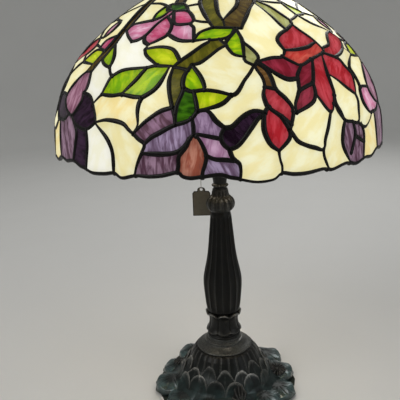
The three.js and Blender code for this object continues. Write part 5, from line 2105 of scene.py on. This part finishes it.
class LAMP_OT_stage(bpy.types.Operator):
    """Set up the camera, the pale floor and the soft lights"""

    bl_idname = "lamp.stage"
    bl_label = "Stage"
    FLOOR_RADIUS = 2.2
    COVE_RADIUS = 1.6
    WALL_HEIGHT = 3.2

    def execute(self, context):
        s = context.scene.lamp.stage
        self.camera(context, s)
        self.floor(context)
        self.lights(context, s)
        context.scene.view_settings.view_transform = "Standard"
        return {"FINISHED"}

    def camera(self, context, s):
        data = bpy.data.cameras.new("camera")
        data.lens = s.lens
        data.shift_x = s.shift
        data.clip_start = 0.01
        obj = bpy.data.objects.new("camera", data)
        place = Matrix.Rotation(s.turn, 4, "Z") @ Matrix.Translation((0, -s.distance, s.height))
        aim = Matrix.Rotation(math.radians(90) - s.tilt, 4, "X") @ Matrix.Rotation(s.roll, 4, "Z")
        obj.matrix_world = place @ aim
        context.scene.collection.objects.link(obj)
        context.scene.camera = obj

    def floor(self, context):
        bend, wall = self.FLOOR_RADIUS, self.FLOOR_RADIUS + self.COVE_RADIUS
        cove = [
            (bend + self.COVE_RADIUS * math.sin(a), self.COVE_RADIUS * (1 - math.cos(a)))
            for a in (math.radians(90 * k / 24) for k in range(25))
        ]
        skin = turned([(0.001, 0)] + cove + [(wall, self.WALL_HEIGHT)], 128, None, False)
        mesh = bpy.data.meshes.new("floor")
        mesh.from_pydata([tuple(v) for v in skin[0]], [], skin[1])
        mesh.shade_smooth()
        mesh.materials.append(floor_paint())
        obj = bpy.data.objects.new("floor", mesh)
        context.scene.collection.objects.link(obj)

    def lights(self, context, s):
        middle = (0, 0, 0.3)
        area_light("window", (-1.3, -0.9, 1.5), middle, 1.1, 14, (1.0, 0.98, 0.95))
        area_light("fill", (1.4, -0.8, 0.9), middle, 1.2, 5, (0.95, 0.97, 1.0))
        area_light("back", (0.4, 1.5, 1.3), middle, 1.0, 9, (1.0, 0.99, 0.97))
        world = bpy.data.worlds.new("studio")
        world.use_nodes = True
        world.node_tree.nodes["Background"].inputs["Color"].default_value = rgba(s.backdrop)
        world.node_tree.nodes["Background"].inputs["Strength"].default_value = 0.75
        context.scene.world = world
        for side, _ in SIDES:
            low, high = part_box(f"bulb_glass_{side}")
            light = bpy.data.lights.new(f"glow_{side}", "POINT")
            light.energy = 0.3
            light.color = (1.0, 0.88, 0.74)
            light.shadow_soft_size = 0.03
            obj = bpy.data.objects.new(f"glow_{side}", light)
            obj.location = (low + high) / 2 - Vector((0, 0, 45 * MM))
            context.scene.collection.objects.link(obj)


# The panel and the add-on

STEPS = (
    LAMP_OT_stage, LAMP_OT_tag, LAMP_OT_panes, LAMP_OT_lead, LAMP_OT_rim, LAMP_OT_cap, LAMP_OT_base,
    LAMP_OT_column,
    LAMP_OT_sockets, LAMP_OT_bulbs, LAMP_OT_chains, LAMP_OT_plain_parts,
)


class LAMP_PT_panel(bpy.types.Panel):
    """Lists the settings and the steps that build the lamp"""

    bl_idname = "LAMP_PT_panel"
    bl_label = "Leaded Glass Table Lamp"
    bl_space_type = "VIEW_3D"
    bl_region_type = "UI"
    bl_category = "Lamp"

    def draw(self, context):
        settings = context.scene.lamp
        for name in ("stage", "shade", "base", "column", "fittings", "tag", "finish"):
            group = getattr(settings, name)
            box = self.layout.box()
            box.label(text=name.capitalize())
            for key in type(group).__annotations__:
                box.prop(group, key)
        for step in STEPS:
            self.layout.operator(step.bl_idname)


CLASSES = (
    LAMP_PG_shade, LAMP_PG_base, LAMP_PG_column, LAMP_PG_fittings, LAMP_PG_tag, LAMP_PG_finish, LAMP_PG_stage,
    LAMP_PG_settings, *STEPS, LAMP_PT_panel,
)


def register():
    for cls in CLASSES:
        bpy.utils.register_class(cls)
    bpy.types.Scene.lamp = PointerProperty(type=LAMP_PG_settings)


def unregister():
    del bpy.types.Scene.lamp
    for cls in reversed(CLASSES):
        bpy.utils.unregister_class(cls)


def main():
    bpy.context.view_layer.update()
    register()
    bpy.ops.lamp.stage()
    bpy.ops.lamp.tag()
    bpy.ops.lamp.panes()
    bpy.ops.lamp.lead()
    bpy.ops.lamp.rim()
    bpy.ops.lamp.cap()
    bpy.ops.lamp.base()
    bpy.ops.lamp.column()
    bpy.ops.lamp.sockets()
    bpy.ops.lamp.bulbs()
    bpy.ops.lamp.chains()
    bpy.ops.lamp.plain_parts()


if __name__ == "__main__":
    main()
